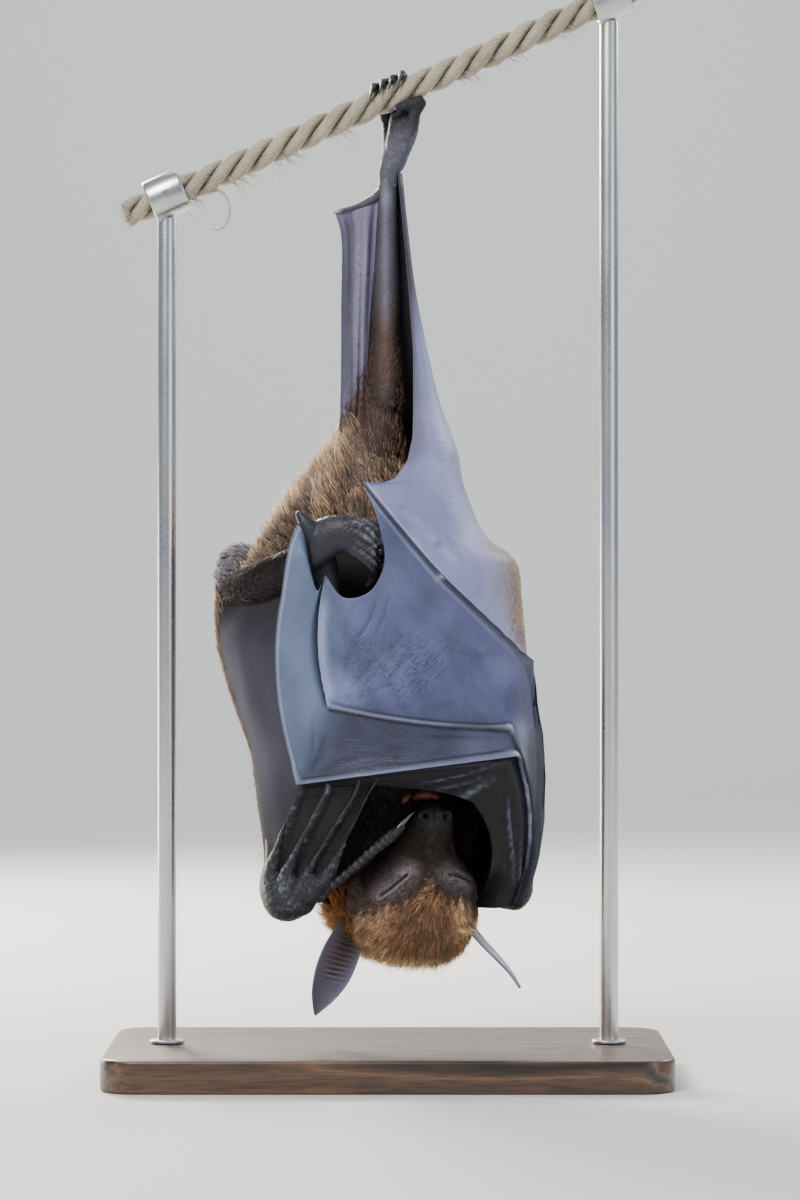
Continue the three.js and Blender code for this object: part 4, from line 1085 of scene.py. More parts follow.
# The left arm's skin, dark and matt, seen at the left beside the hand: lines as for the right one.
LEFT_FRONT = ((-33, 212), (-34, 196), (-35, 172), (-35, 145), (-38, 128), (-45.5, 108), (-52, 90),
              (-53, 82))
LEFT_SIDE = ((-88, 208), (-90, 190), (-93, 170), (-96, 150), (-96, 130), (-95, 110), (-93, 92), (-90, 80))
LEFT_FLANK = ((-150, 225), (-155, 200), (-156, 175), (-155, 155), (-154, 140), (-151, 124), (-148, 112),
              (-145, 104))
LEFT_FOLDS = (
    (((-58, 205), (-55, 170), (-49, 135)), 0.8, -0.5),
    (((-66, 205), (-63, 170), (-56, 128)), 1.5, 0.5),
)


def left_arm_paint(at):
    """Grey in the middle, darker toward the hand and the outer side, and painted in shadow at its upper
    end, under the knee.
    """
    z, angle = at.z, at.angle
    tint = painted(
        LEFT_SKIN,
        (mix(LEFT_SKIN, ARM_SKIN, 0.12), mound(angle + 72, 10)),
        (HAND_SKIN, 0.6 * fall(z, 84, 120)),
        ((0.06, 0.04, 0.03), 0.6 * fade(-angle, 96, 110)))
    tint = tint * (1 + 0.25 * rough(angle * 0.5, z * 0.25, 0, 6, 3.3))[..., None]
    # A shadow painted under the knee at its upper end.
    tint = mix(tint, (0.012, 0.010, 0.013), 0.85 * fade(z, 176, 200) * fall(-angle, 96, 106))
    tint = tint * ((1 - 0.5 * fall(z, 112, 150) * fall(-angle, 96, 110))
                   * (1 - 0.45 * fade(-angle, 66, 84) * fall(-angle, 98, 112)))[..., None]
    gloss = 0.05 + 0.2 * fall(z, 84, 110) - 0.6 * fade(-angle, 48, 74)
    return tint, stacked(0.3, 0.2 * fall(z, 84, 120), gloss)


left_share = np.linspace(0, 1, 52)
left_arm_grid = arm_skin(straight_path(LEFT_FRONT, left_share), LEFT_SIDE, LEFT_FLANK, left_share, 3.2, 34,
                         LEFT_FOLDS, left_arm_paint, lean=8)


# ------------------------------------------------------------------ trunk, limbs and tail skin
# Under the coat the body is a plain round form, set in from the solids by the coat's depth. The
# right leg hangs straight, grey and wrinkled at the ankle; the left one is tucked up, its foot
# closed on the belly. The tail skin hangs in pleats from the heel spur.

UNDERCOAT = (0.030, 0.017, 0.012)
LEG_FUR_SKIN = (0.040, 0.024, 0.019)
SHANK_SKIN = (0.066, 0.060, 0.080)
CALF_SKIN = (0.085, 0.050, 0.042)
FOOT_SKIN = (0.026, 0.025, 0.034)
HANGING_FOOT_SKIN = (0.078, 0.076, 0.104)
TOE_SKIN = (0.016, 0.017, 0.022)
TAIL_SKIN = (0.165, 0.155, 0.240)
DOWNY = (0.1, 0.0, 0.1)
LEATHERY = (0.6, 0.35, 0.7)

# Trunk sections at the skin: height, middle x, middle y, half width, depth in front, depth behind.
TRUNK = (
    (283, -8, 9, 5, 5, 5), (272, -8.5, 9, 12, 10, 11), (258, -9, 8, 19.5, 16, 18), (236, -8, 8, 24, 20, 22),
    (208, -6, 8, 27, 23, 24), (178, -3, 8, 30, 25, 26), (148, 1, 8, 33, 25, 27), (125, 3, 8, 33, 24, 26),
    (108, 4, 8, 30, 21, 23), (94, 4.6, 6, 27, 15, 18), (80, 3.2, 4, 27.5, 13, 17), (68, 3.6, 2, 26, 11, 15),
    (60, 6, 1, 20, 8, 12),
)


def course(stations, t, side, step=1e-3):
    """A smooth line through stations, with the direction ahead, the one nearest a side, and the third."""
    line = smooth_path(stations, t)
    ahead = unit(smooth_path(stations, t + step)[:, :3] - smooth_path(stations, t - step)[:, :3])
    across = unit(np.array(side) - (ahead @ np.array(side))[:, None] * ahead)
    return line, ahead, across, np.cross(ahead, across)


def limb_rings(stations, side=(1, 0, 0), around_it=20, steps=20, caps=4):
    """Rings of a round-ended limb through stations of x, y, z, half width and half depth."""
    stations = np.array([s if len(s) > 4 else (*s, s[3]) for s in stations], float)
    line, ahead, across, out = course(stations, np.linspace(0, 1, steps + 1), side)
    turn = even_turn(around_it)

    def ring(i, shift, shrink):
        middle = line[i, :3] + shift * min(line[i, 3], line[i, 4]) * ahead[i]
        return (middle + shrink * line[i, 3] * np.cos(turn)[:, None] * across[i]
                + shrink * line[i, 4] * np.sin(turn)[:, None] * out[i])

    cap = [k / (caps + 0.4) * math.pi / 2 for k in range(caps, 0, -1)]
    rings = [ring(0, -math.sin(a), math.cos(a)) for a in cap]
    rings += [ring(i, 0, 1) for i in range(steps + 1)]
    rings += [ring(steps, math.sin(a), math.cos(a)) for a in reversed(cap)]
    return np.array(rings)


def grid_normals(rings, closed=True):
    """Outward normals of a grid of places."""
    across = np.roll(rings, -1, 1) - np.roll(rings, 1, 1) if closed else np.gradient(rings, axis=1)
    normals = unit(np.cross(across, np.gradient(rings, axis=0)))
    out = rings - rings.mean(1, keepdims=True)
    return normals * (1 if (normals * out).sum() > 0 else -1)


def raised(rings, height):
    return rings + grid_normals(rings) * np.asarray(height)[..., None]


def add_tube(rings, tint, relief):
    corners, faces = tube(rings)
    tint, relief = (with_ends(np.broadcast_to(np.asarray(v, float), rings.shape)) for v in (tint, relief))
    add_flesh(corners, faces, tint, relief)


def melded(shapes, size):
    """Closed shapes run together into one soft-edged form: remeshed at a size in millimetres and eased."""
    piece = mesh_piece("form", *gathered([tube(rings) for rings in shapes]))
    take(piece)
    run_together = piece.modifiers.new("run together", "REMESH")
    run_together.mode, run_together.voxel_size = "VOXEL", size * MM
    ease = piece.modifiers.new("ease", "SMOOTH")
    ease.factor, ease.iterations = 0.5, 2
    for modifier in ("run together", "ease"):
        bpy.ops.object.modifier_apply(modifier=modifier)
    mesh = piece.data
    corners, normals = np.empty((2, len(mesh.vertices) * 3))
    mesh.vertices.foreach_get("co", corners)
    mesh.vertices.foreach_get("normal", normals)
    faces = np.empty(len(mesh.loops), np.int32)
    mesh.loops.foreach_get("vertex_index", faces)
    bpy.data.objects.remove(piece)
    return corners.reshape(-1, 3) / MM, normals.reshape(-1, 3), [faces.reshape(-1, 4)]


def trunk_rings():
    rows = smooth_path([(r[0], 0, 0, *r[1:]) for r in TRUNK], np.linspace(0, 1, 54))
    height, _, _, x, y, wide, front, back = rows.T[..., None]
    turn = np.linspace(-math.pi, math.pi, 42, endpoint=False)
    depth = np.where(np.cos(turn) > 0, front, back)
    return stacked(x + wide * np.sin(turn), y - depth * np.cos(turn), height)


trunk_grid = trunk_rings()
x, y, z = np.moveaxis(trunk_grid, -1, 0)
# The front of the trunk under the wings is painted near-black: the shade in the hollow there.
breast = fade(-y, 2, 8) * fade(z, 112, 122) * fall(z, 222, 232)
thigh_right_grid = limb_rings(
    ((-5, 10, 246, 15, 15), (-4, 8, 268, 12, 12.5), (-2, 5.5, 290, 8, 8.5), (-1.2, 4, 303, 6.4, 6.4)),
    around_it=28)
thigh_left_grid = limb_rings(
    ((-18, 9, 252, 13.5, 14), (-40, 8, 230.5, 9.6, 10.2), (-60, 4, 208, 6.6, 7.2)), (0, 1, 0), around_it=28)
shank_left_grid = limb_rings(
    ((-65, -3, 208, 7.2, 7), (-54, -20, 211.5, 7.5, 8.5), (-41, -30, 217, 6, 8)), (0, 1, 0), 28, 26)
# The left elbow shows behind the knee, its skin painted pale as lit from behind.
elbow_left_grid = limb_rings(
    ((-58, 14, 222, 5, 6), (-64, 12, 221, 7, 7), (-68, 8, 214, 5.5, 6)), (0, 0, 1), 20, 12)
for rings, skin_tint in ((trunk_grid, mix(UNDERCOAT, (0.010, 0.008, 0.009), breast)),
                         (thigh_right_grid, LEG_FUR_SKIN), (thigh_left_grid, LEG_FUR_SKIN),
                         (shank_left_grid, (0.014, 0.010, 0.011)), (elbow_left_grid, (0.13, 0.110, 0.125))):
    add_tube(rings, skin_tint, DOWNY)

# The hanging leg: skin wrinkled across like worn leather, fading into short fur below.
shank_right_grid = limb_rings(
    ((-1, 4, 290, 8.4, 8.4), (-1.3, 3, 318, 7.2, 7.2), (-0.8, 1.4, 345, 5.6, 5.4),
     (-0.2, 0.4, 368, 4.3, 4.2), (0, 0, 384, 4.3, 4.1)), around_it=28, steps=90)
x, y, z = np.moveaxis(shank_right_grid, -1, 0)
tendon = mound(line_distance(x, z, ((-1.2, 384), (-1.0, 350), (-0.8, 318)))[0], 1.5) * (y < 2)
wrinkle = (np.sin(z * 2.9 + 1.5 * np.sin(x * 0.5) + 0.9 * np.sin(z * 0.31)) * 0.11 * fade(z, 318, 340)
           + 0.14 * rough(x, y, z * 1.6, 2.2) * fade(z, 316, 336) + 0.7 * tendon)
shank_tint = painted(LEG_FUR_SKIN, (CALF_SKIN, fade(z, 286, 300) * mound(x + 0.8, 4)),
                     (SHANK_SKIN, fade(z, 318, 345)))
# Its round is painted: lighter down the middle and darker at the sides, with highlights painted along the
# tendon and on the ankle.
shank_tint = painted(
    shank_tint * (0.45 + 0.75 * mound(x + 1.2, 3.6))[..., None],
    (np.array(SHANK_SKIN) * 2.1, 0.8 * tendon * fade(z, 316, 335)),
    ((0.21, 0.23, 0.33), 0.7 * spot_at(x, z, (-0.8, 377), 2.2, 5)))
add_tube(raised(shank_right_grid, wrinkle), shank_tint, LEATHERY)


def on_rope(along, degrees, distance):
    return beside_rope(np.array(float(along)), math.radians(degrees), distance)


# The hanging foot: where its four toes lie along the rope, and stations of angle and size over it.
TOES_ALONG = (-8, -3.6, 0.8, 5.2)
TOE_STATIONS = ((82, 2.3), (42, 2.0), (4, 2.2), (-26, 1.7), (-46, 1.35))
# The fifth toe, opposed to them in front: along the rope, angle, distance out and size.
FRONT_TOE = ((6.8, -150, 8.4, 2.6), (3.6, -146, 8.6, 2.5), (-0.4, -140, 8.5, 2.2), (-3.8, -136, 8.3, 1.7))


def right_foot_shapes():
    """The sole, the four toes over the rope, the front toe, and the skin between it and the sole."""
    shapes = [limb_rings(((0, 0, 380, 4.2, 4), (0.4, 0.2, 388, 4.5, 4), (1.8, 2.7, 396, 4.7, 3.6),
                          (3.6, 6, 405, 6.2, 3.3), (4.6, 9.3, 414, 7.6, 2.7)))]
    for along in TOES_ALONG:
        way = [(4.4 + along * 0.7, 9, 412.5, 2.3)]
        for k, (degrees, size) in enumerate(TOE_STATIONS):
            way.append((*on_rope(along - k * 0.5, degrees, ROPE["radius"] + 1.1), 0.85 * size))
        shapes.append(limb_rings(way, (1, 0, 0), 12, 26, 3))
    front = [(3.4, 1.0, 396, 3.8), (6.8, -0.8, 402, 3.9), (10.4, -3.0, 409, 3.2), (11.6, -3.6, 413.5, 2.6)]
    front += [(*on_rope(*place), size) for *place, size in FRONT_TOE]
    shapes.append(limb_rings(front, (0, 1, 0), 12, 34, 3))
    shapes.append(limb_rings(
        ((3.0, 1.0, 392, 4.4, 4.2), (4.8, 1.0, 400, 5.8, 5.0), (6.6, 1.6, 407, 6.6, 5.6),
         (7.0, 2.4, 412, 6.4, 5.4)), around_it=16, steps=14))
    return shapes


# The creases between the toes of the tucked foot, seen from the front.
TOE_CREASES = (
    ((-18, 240.0), (-10, 237.6), (-5.2, 233.6), (-3.0, 229.0)),
    ((-16.5, 236.4), (-10, 233.6), (-5.4, 230.0), (-2.4, 225.0)),
    ((-14.8, 232.4), (-9.6, 229.4), (-5.0, 226.0), (-2.0, 221.4)),
    ((-15.5, 228.6), (-10, 225.6), (-5.6, 222.4), (-1.7, 218.2)),
)


def left_foot_shapes():
    """The tucked foot: a wrapped heel, its spur, and five toes closed side by side."""
    shapes = [
        limb_rings(((-39, -23, 209, 7, 6), (-36, -28, 219, 9, 6.4), (-30, -33.5, 228, 9.6, 6),
                    (-21, -37, 232.5, 8.2, 5.2), (-12, -38.5, 230.5, 7.6, 4.4)), (0.3, 0, 1), 24, 26),
        limb_rings(((-31, -35, 231, 5.0), (-34.4, -35.6, 236.6, 3.4), (-37.2, -34.6, 240.6, 2.0)),
                   around_it=12, steps=8),
        limb_rings(((-31, -28, 228, 8, 6), (-28, -28, 214, 7.6, 6), (-26, -28, 202, 6.5, 6)),
                   around_it=18, steps=12)]
    for n in range(5):
        shapes.append(limb_rings((
            (-17, -38.0, 238.0 - 3.0 * n, 2.2), (-9 - n * 0.4, -40.6, 236.6 - 3.6 * n, 2.3),
            (-3.4 - n * 0.8, -40.0, 233.6 - 3.9 * n, 2.0), (-1.2 - n * 1.0, -36.4, 229.6 - 4 * n, 1.8),
            (-4.2 - n * 1.0, -32.4, 226.6 - 4 * n, 1.6)), (0, 0, 1), 12, 26, 3))
    return shapes


def wrinkled_foot(shapes, size, skin_tint, rippled, relief, creases=()):
    corners, normals, faces = melded(shapes, size)
    x, y, z = corners.T
    skin_tint = mix(skin_tint, TOE_SKIN, fade(z, 398, 412))
    ripple = rippled * (0.13 * rough(x, y, z, 1.5, 2.2) + 0.12 * rough(x * 0.5, y * 0.5, z * 1.4, 1.3, 5.0))
    # The raised ripples are painted lighter, as lit.
    tint = mix(skin_tint, skin_tint * 2.6, np.clip(ripple * 3.0, 0, 1))
    for line in creases:
        away, share = line_distance(x, z, line)
        seen = fade(-y, 33, 36) * fade(share, 0.0, 0.35)
        ripple = ripple - 1.0 * mound(away, 0.6) * seen
        lit = np.clip(0.4 + rough(x, y, z, 2.2, 1.1), 0, 1)
        # Each crease is painted as a line of shade with a highlight beside it.
        tint = painted(tint, ((0.34, 0.34, 0.40), 0.75 * mound(away - 1.2, 0.45) * seen * lit),
                       ((0.004, 0.004, 0.005), 0.9 * mound(away, 0.55) * seen))
    add_flesh(corners + normals * ripple[:, None], faces, tint, relief)


wrinkled_foot(right_foot_shapes(), 0.90, HANGING_FOOT_SKIN, 1.0, (0.4, 0.85, 0.3))
wrinkled_foot(left_foot_shapes(), 1.0, FOOT_SKIN, 0.45, (0.4, 0.35, 0.75), TOE_CREASES)

# The tail skin: pleated lengthwise, edged by a thin cord from the heel spur down to the rump. Its
# two edges as (x, y, z), and each pleat's place, width and depth.
TAIL_EDGE = ((-22.8, -0.5, 371), (-20.3, 0, 362), (-20.2, 1, 330), (-20.4, 3, 296), (-21.5, 5, 262))
TAIL_LEG = ((-0.5, -1.2, 379), (-2, -1.0, 362), (-3.6, 0, 330), (-4.6, 2, 296), (-7, 5, 262))
TAIL_PLEATS = ((0.14, 0.030, 0.5), (0.30, 0.035, -0.9), (0.41, 0.030, 0.8), (0.50, 0.028, -1.0),
               (0.60, 0.032, 1.0), (0.70, 0.026, -0.8), (0.80, 0.035, 0.9), (0.90, 0.03, -0.7))


def tail_sheet():
    v = np.linspace(0, 1, 48)[:, None]
    u = np.linspace(0, 1, 44)[None]
    edge, leg = smooth_path(TAIL_EDGE, v), smooth_path(TAIL_LEG, v)
    places = edge + u[..., None] * (leg - edge)
    fold = 1.0 * np.sin(3 * math.pi * u) * np.sin(math.pi * np.minimum(v + 0.1, 1))
    for place, wide, deep in TAIL_PLEATS:
        lean = place + 0.10 * (place - 0.45) * (1 - 2 * v) + 0.012 * np.sin(9 * v + 20 * place)
        swell = 0.6 + 0.4 * np.sin(5 * v + 9 * place)
        fold = fold - deep * mound(u - lean, wide) * fade(v, 0.0, 0.12) * swell
    x, z = places[..., 0], places[..., 2]
    outer = places + stacked(0, fold - 0.7 * mound(u, 0.025) + 0.10 * rough(x, 0, z * 2.2, 2.8, 6.6), 0)
    # The pleats are painted in shade in their hollows and lighter on their crests, and the back face
    # darker.
    tint = painted(
        TAIL_SKIN, (DARK_PALM_AND_GROOVE_SHADE, np.clip(fold * 0.75, 0, 0.85)),
        ((0.235, 0.215, 0.285), np.clip(-fold * 0.35, 0, 0.5)),
        (LEG_FUR_SKIN, 0.85 * fall(z, 262 + 2.0 * (x + 20), 290 + 2.2 * (x + 20))))
    add_sheet(outer, outer + np.array([0, SKIN_THICK, 0]), tint, (0.35, 0.1, 0.5), tint * 0.7)
    return outer


tail_grid = tail_sheet()
heel_spur = limb_rings(((-0.5, 0, 382, 2.6), (-7, -0.4, 376.6, 1.8), (-14, -0.6, 373.4, 1.15),
                        (-23.5, -0.7, 371.3, 0.7)), (0, 1, 0), 14, 24)
add_tube(heel_spur, mix(SHANK_SKIN, (0.55, 0.57, 0.60), fade(-heel_spur[..., 0], 19, 23.5)), LEATHERY)


# ------------------------------------------------------------------ head, ears and thumbs
# The head hangs crown down with the muzzle tucked up to the breast and the eyes shut. The face
# is bare dark skin with fine folds round the lids; the coat starts in a peak between the eyes.

FACE_SKIN = (0.007, 0.005, 0.004)
LID_SKIN = (0.240, 0.195, 0.210)
BRIDGE_SKIN = (0.050, 0.036, 0.024)
NOSE_SKIN = (0.005, 0.005, 0.006)
TONGUE = (0.070, 0.014, 0.015)
LIP = (0.100, 0.024, 0.014)
HEAD_TILT = math.radians(9)
HEAD_SIDES = 136
HEAD_STEPS = 112
# Head sections at the skin from the crown to the nose: x, y, z, half width, half depth.
HEAD = (
    (9.4, -1.5, 53.2, 6, 4.5), (9.5, -1.8, 55.0, 15, 10.5), (9.6, -2.4, 60, 21.5, 16.5),
    (9.8, -3.4, 66.5, 24.8, 19.5), (10.4, -5.6, 74, 27, 21.5), (12.2, -9.2, 81.5, 26.5, 21.6),
    (13.8, -14.2, 89, 22, 18.6), (15.2, -19.8, 96, 14.6, 14.2), (16.9, -25.6, 103, 10.9, 10.9),
    (18.5, -30.4, 109.5, 9.1, 8.6), (19.8, -33.6, 114.5, 7.8, 6.9), (20.6, -35.2, 117.4, 5.4, 4.6),
    (20.9, -35.8, 118.6, 2.4, 2.0),
)
# The closed eyes as seen from the front: the slit from its outer to its inner corner, and how deep
# the eye lies.
EYES = (((-3.6, 78.8), (0.8, 82.0), (5.0, 85.6), (8.3, 88.6)),
        ((34.4, 83.6), (31.2, 86.0), (28.6, 87.4), (25.4, 88.4)))
EYE_DEPTHS = (2.2, 1.1)
LID_CREASES = (2.3, 4.4)
NOSTRILS = ((15.6, 113.6), (24.6, 113.4))
BRIDGE = ((18.5, 86), (19.3, 97), (20.0, 108))
BROW = ((2, 74), (10, 80.5), (17, 82), (25, 82.5), (33, 79))


def head_rings():
    """Rings of the head, closest together at the front, where the face has its detail."""
    s = np.linspace(-1, 1, HEAD_SIDES, endpoint=False)
    turn = math.pi * np.sign(s) * (0.52 * np.abs(s) + 0.48 * np.abs(s) ** 2.2)
    side = np.array([math.cos(HEAD_TILT), 0, -math.sin(HEAD_TILT)])
    line, ahead, _, _ = course(HEAD, np.linspace(0, 1, HEAD_STEPS), side, 2e-3)
    ahead[:6] = ahead[6]
    ahead[-6:] = ahead[-7]
    across = unit(side - (ahead @ side)[:, None] * ahead)
    return (line[:, None, :3] + (line[:, 3:4] * np.sin(turn))[..., None] * across[:, None]
            - (line[:, 4:5] * np.cos(turn))[..., None] * np.cross(ahead, across)[:, None])


def face_shape(rings):
    """Height of the face's folds at each place of the head, with how much lid and slit is there."""
    x, y, z = np.moveaxis(rings, -1, 0)
    front = fade(-grid_normals(rings)[..., 1], 0.05, 0.4)
    height, lids, slits, creases = 0 * x, 0 * x, 0 * x, 0 * x
    wobble = 0.8 * rough(x, 0, z, 3.4, 8.8)
    broken = fade(rough(x, 0, z, 2.6, 5.1), -0.35, 0.25) * fade(-z, -92, -84)
    for eye, deep in zip(EYES, EYE_DEPTHS):
        away, share = line_distance(x, z, eye)
        middle = np.array(eye).mean(0)
        to_end = np.minimum(share, 1 - share)
        height = (height - deep * mound(np.hypot(x - middle[0], z - middle[1]), 10.5)
                  + 3.5 * mound(away, 3.3) * (0.5 + 0.5 * np.clip(to_end * 5, 0, 1)))
        for crease_away in LID_CREASES:
            line = mound(away + wobble - crease_away, 0.40) * broken
            height = height - 0.40 * line * front
            creases = np.maximum(creases, line)
        slit = mound(away, 0.62) * np.clip(to_end * 30 + 0.2, 0, 1)
        height = height - 1.9 * slit + 0.45 * mound(away - 1.3, 0.5)
        lids = np.maximum(lids, mound(away + 0.9 * rough(x, 0, z, 4.0, 2.7), 6.0))
        slits = np.maximum(slits, slit)
    bridge, brow = (line_distance(x, z, line)[0] for line in (BRIDGE, BROW))
    height = height + front * (
        (0.9 * mound(bridge, 4.0) - 0.55 * mound(np.abs(bridge) - 6.5, 2.2)) * (z < 112)
        + 0.8 * mound(brow, 4.0)
        - 0.9 * mound(x - 20.2, 1.0) * fade(z, 109, 113)
        + 0.9 * mound(np.abs(x - 20) - 7.0, 2.6) * mound(z - 106.5, 4.0)
        + 0.16 * rough(x, y, z, 1.9, 9.9) + 0.22 * rough(x, y, z, 5.0, 3.9))
    for spot in NOSTRILS:
        away = np.hypot((x - spot[0]) * 0.95, z - spot[1])
        height = height + front * (0.75 * mound(away - 2.0, 0.8) - 2.2 * mound(away, 0.95))
    return height, lids * front, np.clip(slits + 0.30 * creases, 0, 1) * front


head_grid = head_rings()
height, lids, slits = face_shape(head_grid)
head_grid = raised(head_grid, height)
x, y, z = np.moveaxis(head_grid, -1, 0)
# The slits of the eyes, the creases of the lids and the nostrils are painted near-black: the shade in them.
head_tint = painted(
    FACE_SKIN,
    (LID_SKIN, np.clip(lids * 1.1, 0, 1) ** 1.7 * (0.6 + 0.4 * fade(-x, -28, -16))),
    (BRIDGE_SKIN, 0.55 * mound(line_distance(x, z, ((18.8, 88), (19.6, 104)))[0], 4.5)),
    (NOSE_SKIN, fade(z, 108, 113)),
    *(((0.002, 0.002, 0.002), spot_at(x, z, spot, 1.25, 1.25)) for spot in NOSTRILS),
    ((0.004, 0.003, 0.003), slits),
    ((0.110, 0.050, 0.022), fall(z, 70, 82)))
add_tube(head_grid, head_tint, stacked(
    0.35 + 0.4 * lids, 0.25 + 0.4 * fade(z, 106, 112), 0.05 + 0.30 * fade(z, 100, 112)))

# The tip of the tongue and one lip show above the nose, where the muzzle meets the breast.
add_tube(limb_rings(((11.4, -31, 121.6, 1.4), (14.2, -32.2, 122.5, 2.2), (18.0, -32.4, 122.4, 2.1),
                     (20.6, -31.4, 121.4, 1.3)), (0, 1, 0), 16, 16), TONGUE, (0.3, 0.6, 1.0))
add_tube(limb_rings(((6.4, -32.8, 119.4, 0.9), (7.6, -33.8, 120.8, 1.4), (8.8, -33.6, 122.2, 1.0)),
                    (0, 1, 0), 12, 8), LIP, (0.3, 0.4, 0.9))

# Each ear is a pointed leaf rolled at its base, ribbed across inside, with a highlight painted along its
# thin rim; the right one, seen edge on, is painted pale all over as lit.
EAR_SKIN = (0.135, 0.120, 0.168)
EAR_EDGE_ON_HIGHLIGHT = (0.30, 0.32, 0.44)
EAR_INNER = (0.075, 0.040, 0.028)
EAR_RIM_HIGHLIGHT = (0.190, 0.205, 0.310)
# Stations: x, y, z, half width.
EAR_LEFT = ((-11.5, -5.0, 71, 3.6), (-16.6, -7.4, 62.5, 6.4), (-21.0, -8.8, 53, 8.4),
            (-24.6, -8.4, 44, 8.2), (-28.2, -7.4, 35, 5.4), (-30.6, -6.6, 28.5, 1.6),
            (-31.2, -6.4, 26.6, 0.3))
EAR_RIGHT = ((31.0, -4.5, 70, 3.0), (35.6, -6.6, 63.2, 4.6), (40.8, -8.2, 57.4, 5.0),
             (46.6, -9.4, 51.6, 4.0), (52.4, -10.2, 45.4, 2.0), (56.8, -10.8, 39.0, 0.3))


def add_ear(stations, side, hollow, roll, ribbed, skin_tint):
    v = np.concatenate([np.linspace(0, 0.14, 7)[:-1], np.linspace(0.14, 0.60, 76)[:-1],
                        np.linspace(0.60, 1, 20)])
    line = smooth_path(stations, v)
    ahead = unit(np.gradient(line[:, :3], axis=0))
    across = unit(np.array(side) - (ahead @ np.array(side))[:, None] * ahead)
    out = np.cross(ahead, across)
    half_way = out[len(v) // 2]
    facing = np.sign(-half_way[1] if abs(half_way[1]) > 0.3 else half_way[0])
    v, w, wide = v[:, None], np.linspace(-1, 1, 21)[None], line[:, 3:4]
    curl = roll * fall(v, 0.0, 0.42) + 0.5
    reach = wide * np.sin(w * curl) / np.sin(curl)
    sink = wide * (1 - np.cos(w * curl)) / np.sin(curl) * hollow
    ribs = ribbed * 0.22 * np.cos(v * 160 + 1.6 * w ** 2 + 2.4 * w) * mound(w - 0.15, 0.52)
    ribs = ribs * fade(v, 0.16, 0.24) * fall(v, 0.46, 0.60)

    def face(depth):
        return (line[:, None, :3] + reach[..., None] * across[:, None]
                + (facing * depth)[..., None] * out[:, None])

    tint = painted(
        skin_tint,
        (EAR_INNER, fall(v, 0.2, 0.62) * mound(w - 0.1, 0.7)),
        ((0.045, 0.020, 0.010), 0.8 * fall(v, 0.06, 0.2) + 0 * w),
        ((0.010, 0.006, 0.006), np.clip(-ribs * 4.2, 0, 0.8)),
        # a highlight painted along the rim
        (EAR_RIM_HIGHLIGHT, 0.85 * mound(np.abs(w) - 1, 0.14) * fade(v, 0.1, 0.3)))
    rim = 0.35 * mound(np.abs(w) - 0.95, 0.06)
    add_sheet(face(sink + ribs + rim), face(sink - 0.75 * (1 - w ** 4) - 0.25),
              tint, (0.3, 0.15, 0.45), mix(skin_tint, EAR_RIM_HIGHLIGHT, 0.15))


add_ear(EAR_LEFT, (0.93, 0.24, 0.30), 0.95, 0.85, 1, EAR_SKIN)
add_ear(EAR_RIGHT, (0.16, 0.98, 0.10), 0.55, 0.75, 0, EAR_EDGE_ON_HIGHLIGHT)

# The thumbs are ringed, and their skin is beaded, with highlights painted on the crests of the rings and
# beads. Stations: x, y, z, half width, half depth.
THUMB_SKIN = (0.0150, 0.0135, 0.0165)
THUMB_HIGHLIGHT = (0.135, 0.137, 0.175)
THUMBS = (
    (((-29, -28, 78.6, 2.3, 2.3), (-24.0, -36, 83.4, 1.7, 1.7), (-15, -42.6, 91.4, 1.8, 1.8),
      (-6, -46, 99.6, 2.1, 2.0), (0.6, -47.2, 105.0, 2.4, 2.3), (3.6, -47.6, 107.6, 2.2, 2.0),
      (5.6, -47.4, 109.4, 1.5, 1.5)), 1.5),
    (((50, -12, 78, 4.0, 4.0), (50, -15, 85, 2.6, 2.6), (50.4, -16, 96, 2.1, 2.1),
      (50.4, -16.6, 102, 2.5, 2.3), (50.0, -17, 105, 1.5, 1.5)), 3.5),
)
for stations, seed in THUMBS:
    rings = limb_rings(stations, (0, 1, 0), 20, 84)
    t = np.linspace(0, 1, len(rings))[:, None]
    ring_marks = 0.16 * np.sin(t * 150 + 1.2 * np.sin(t * 17)) * fade(t, 0.02, 0.15)
    beads = 0.16 * rough(*np.moveaxis(rings, -1, 0), 0.9, seed)
    # The crests of the rings and the beads are painted lighter, as highlights.
    highlight = np.clip(ring_marks * 2.0 + beads * 3.0 - 0.08, 0, 1)
    add_tube(raised(rings, ring_marks + beads), mix(THUMB_SKIN, THUMB_HIGHLIGHT, highlight), (0.3, 1.0, 0.9))


# The wrists, where palm bones and thumb run together in knobbly skin: a size at each place
# along the first part of a palm bone, from its root inside the wrist.
PALM_BONE = ((0.0, 6.0), (0.15, 4.2), (0.34, 2.3), (0.60, 0.8))
LEFT_WRIST = ((-48.5, -6, 93, 4.0, 5), (-48.6, -14, 82, 6.4, 7.4), (-44, -20, 76.4, 8.2, 8.6),
              (-36.5, -24.5, 77.6, 6.2, 7.2))
RIGHT_WRIST = ((57, 2, 98, 3.6, 5), (57, -2, 86, 5.6, 6.6), (54, -5, 78.5, 7.2, 7.0),
               (50, -8, 77.6, 5.4, 5.4))


def knobbly(shapes, size, highlight):
    corners, normals, faces = melded(shapes, size)
    x, y, z = corners.T
    beads = 0.26 * rough(x, y, z, 1.1, 4.1) + 0.18 * rough(x, y, z, 3.4, 6.1)
    # The raised beads are painted lighter toward the highlight colour.
    add_flesh(corners + normals * beads[:, None], faces,
              mix(WRIST_SKIN, highlight, np.clip(beads * 3.6 - 0.12, 0, 1)), (0.4, 1.0, 0.65))


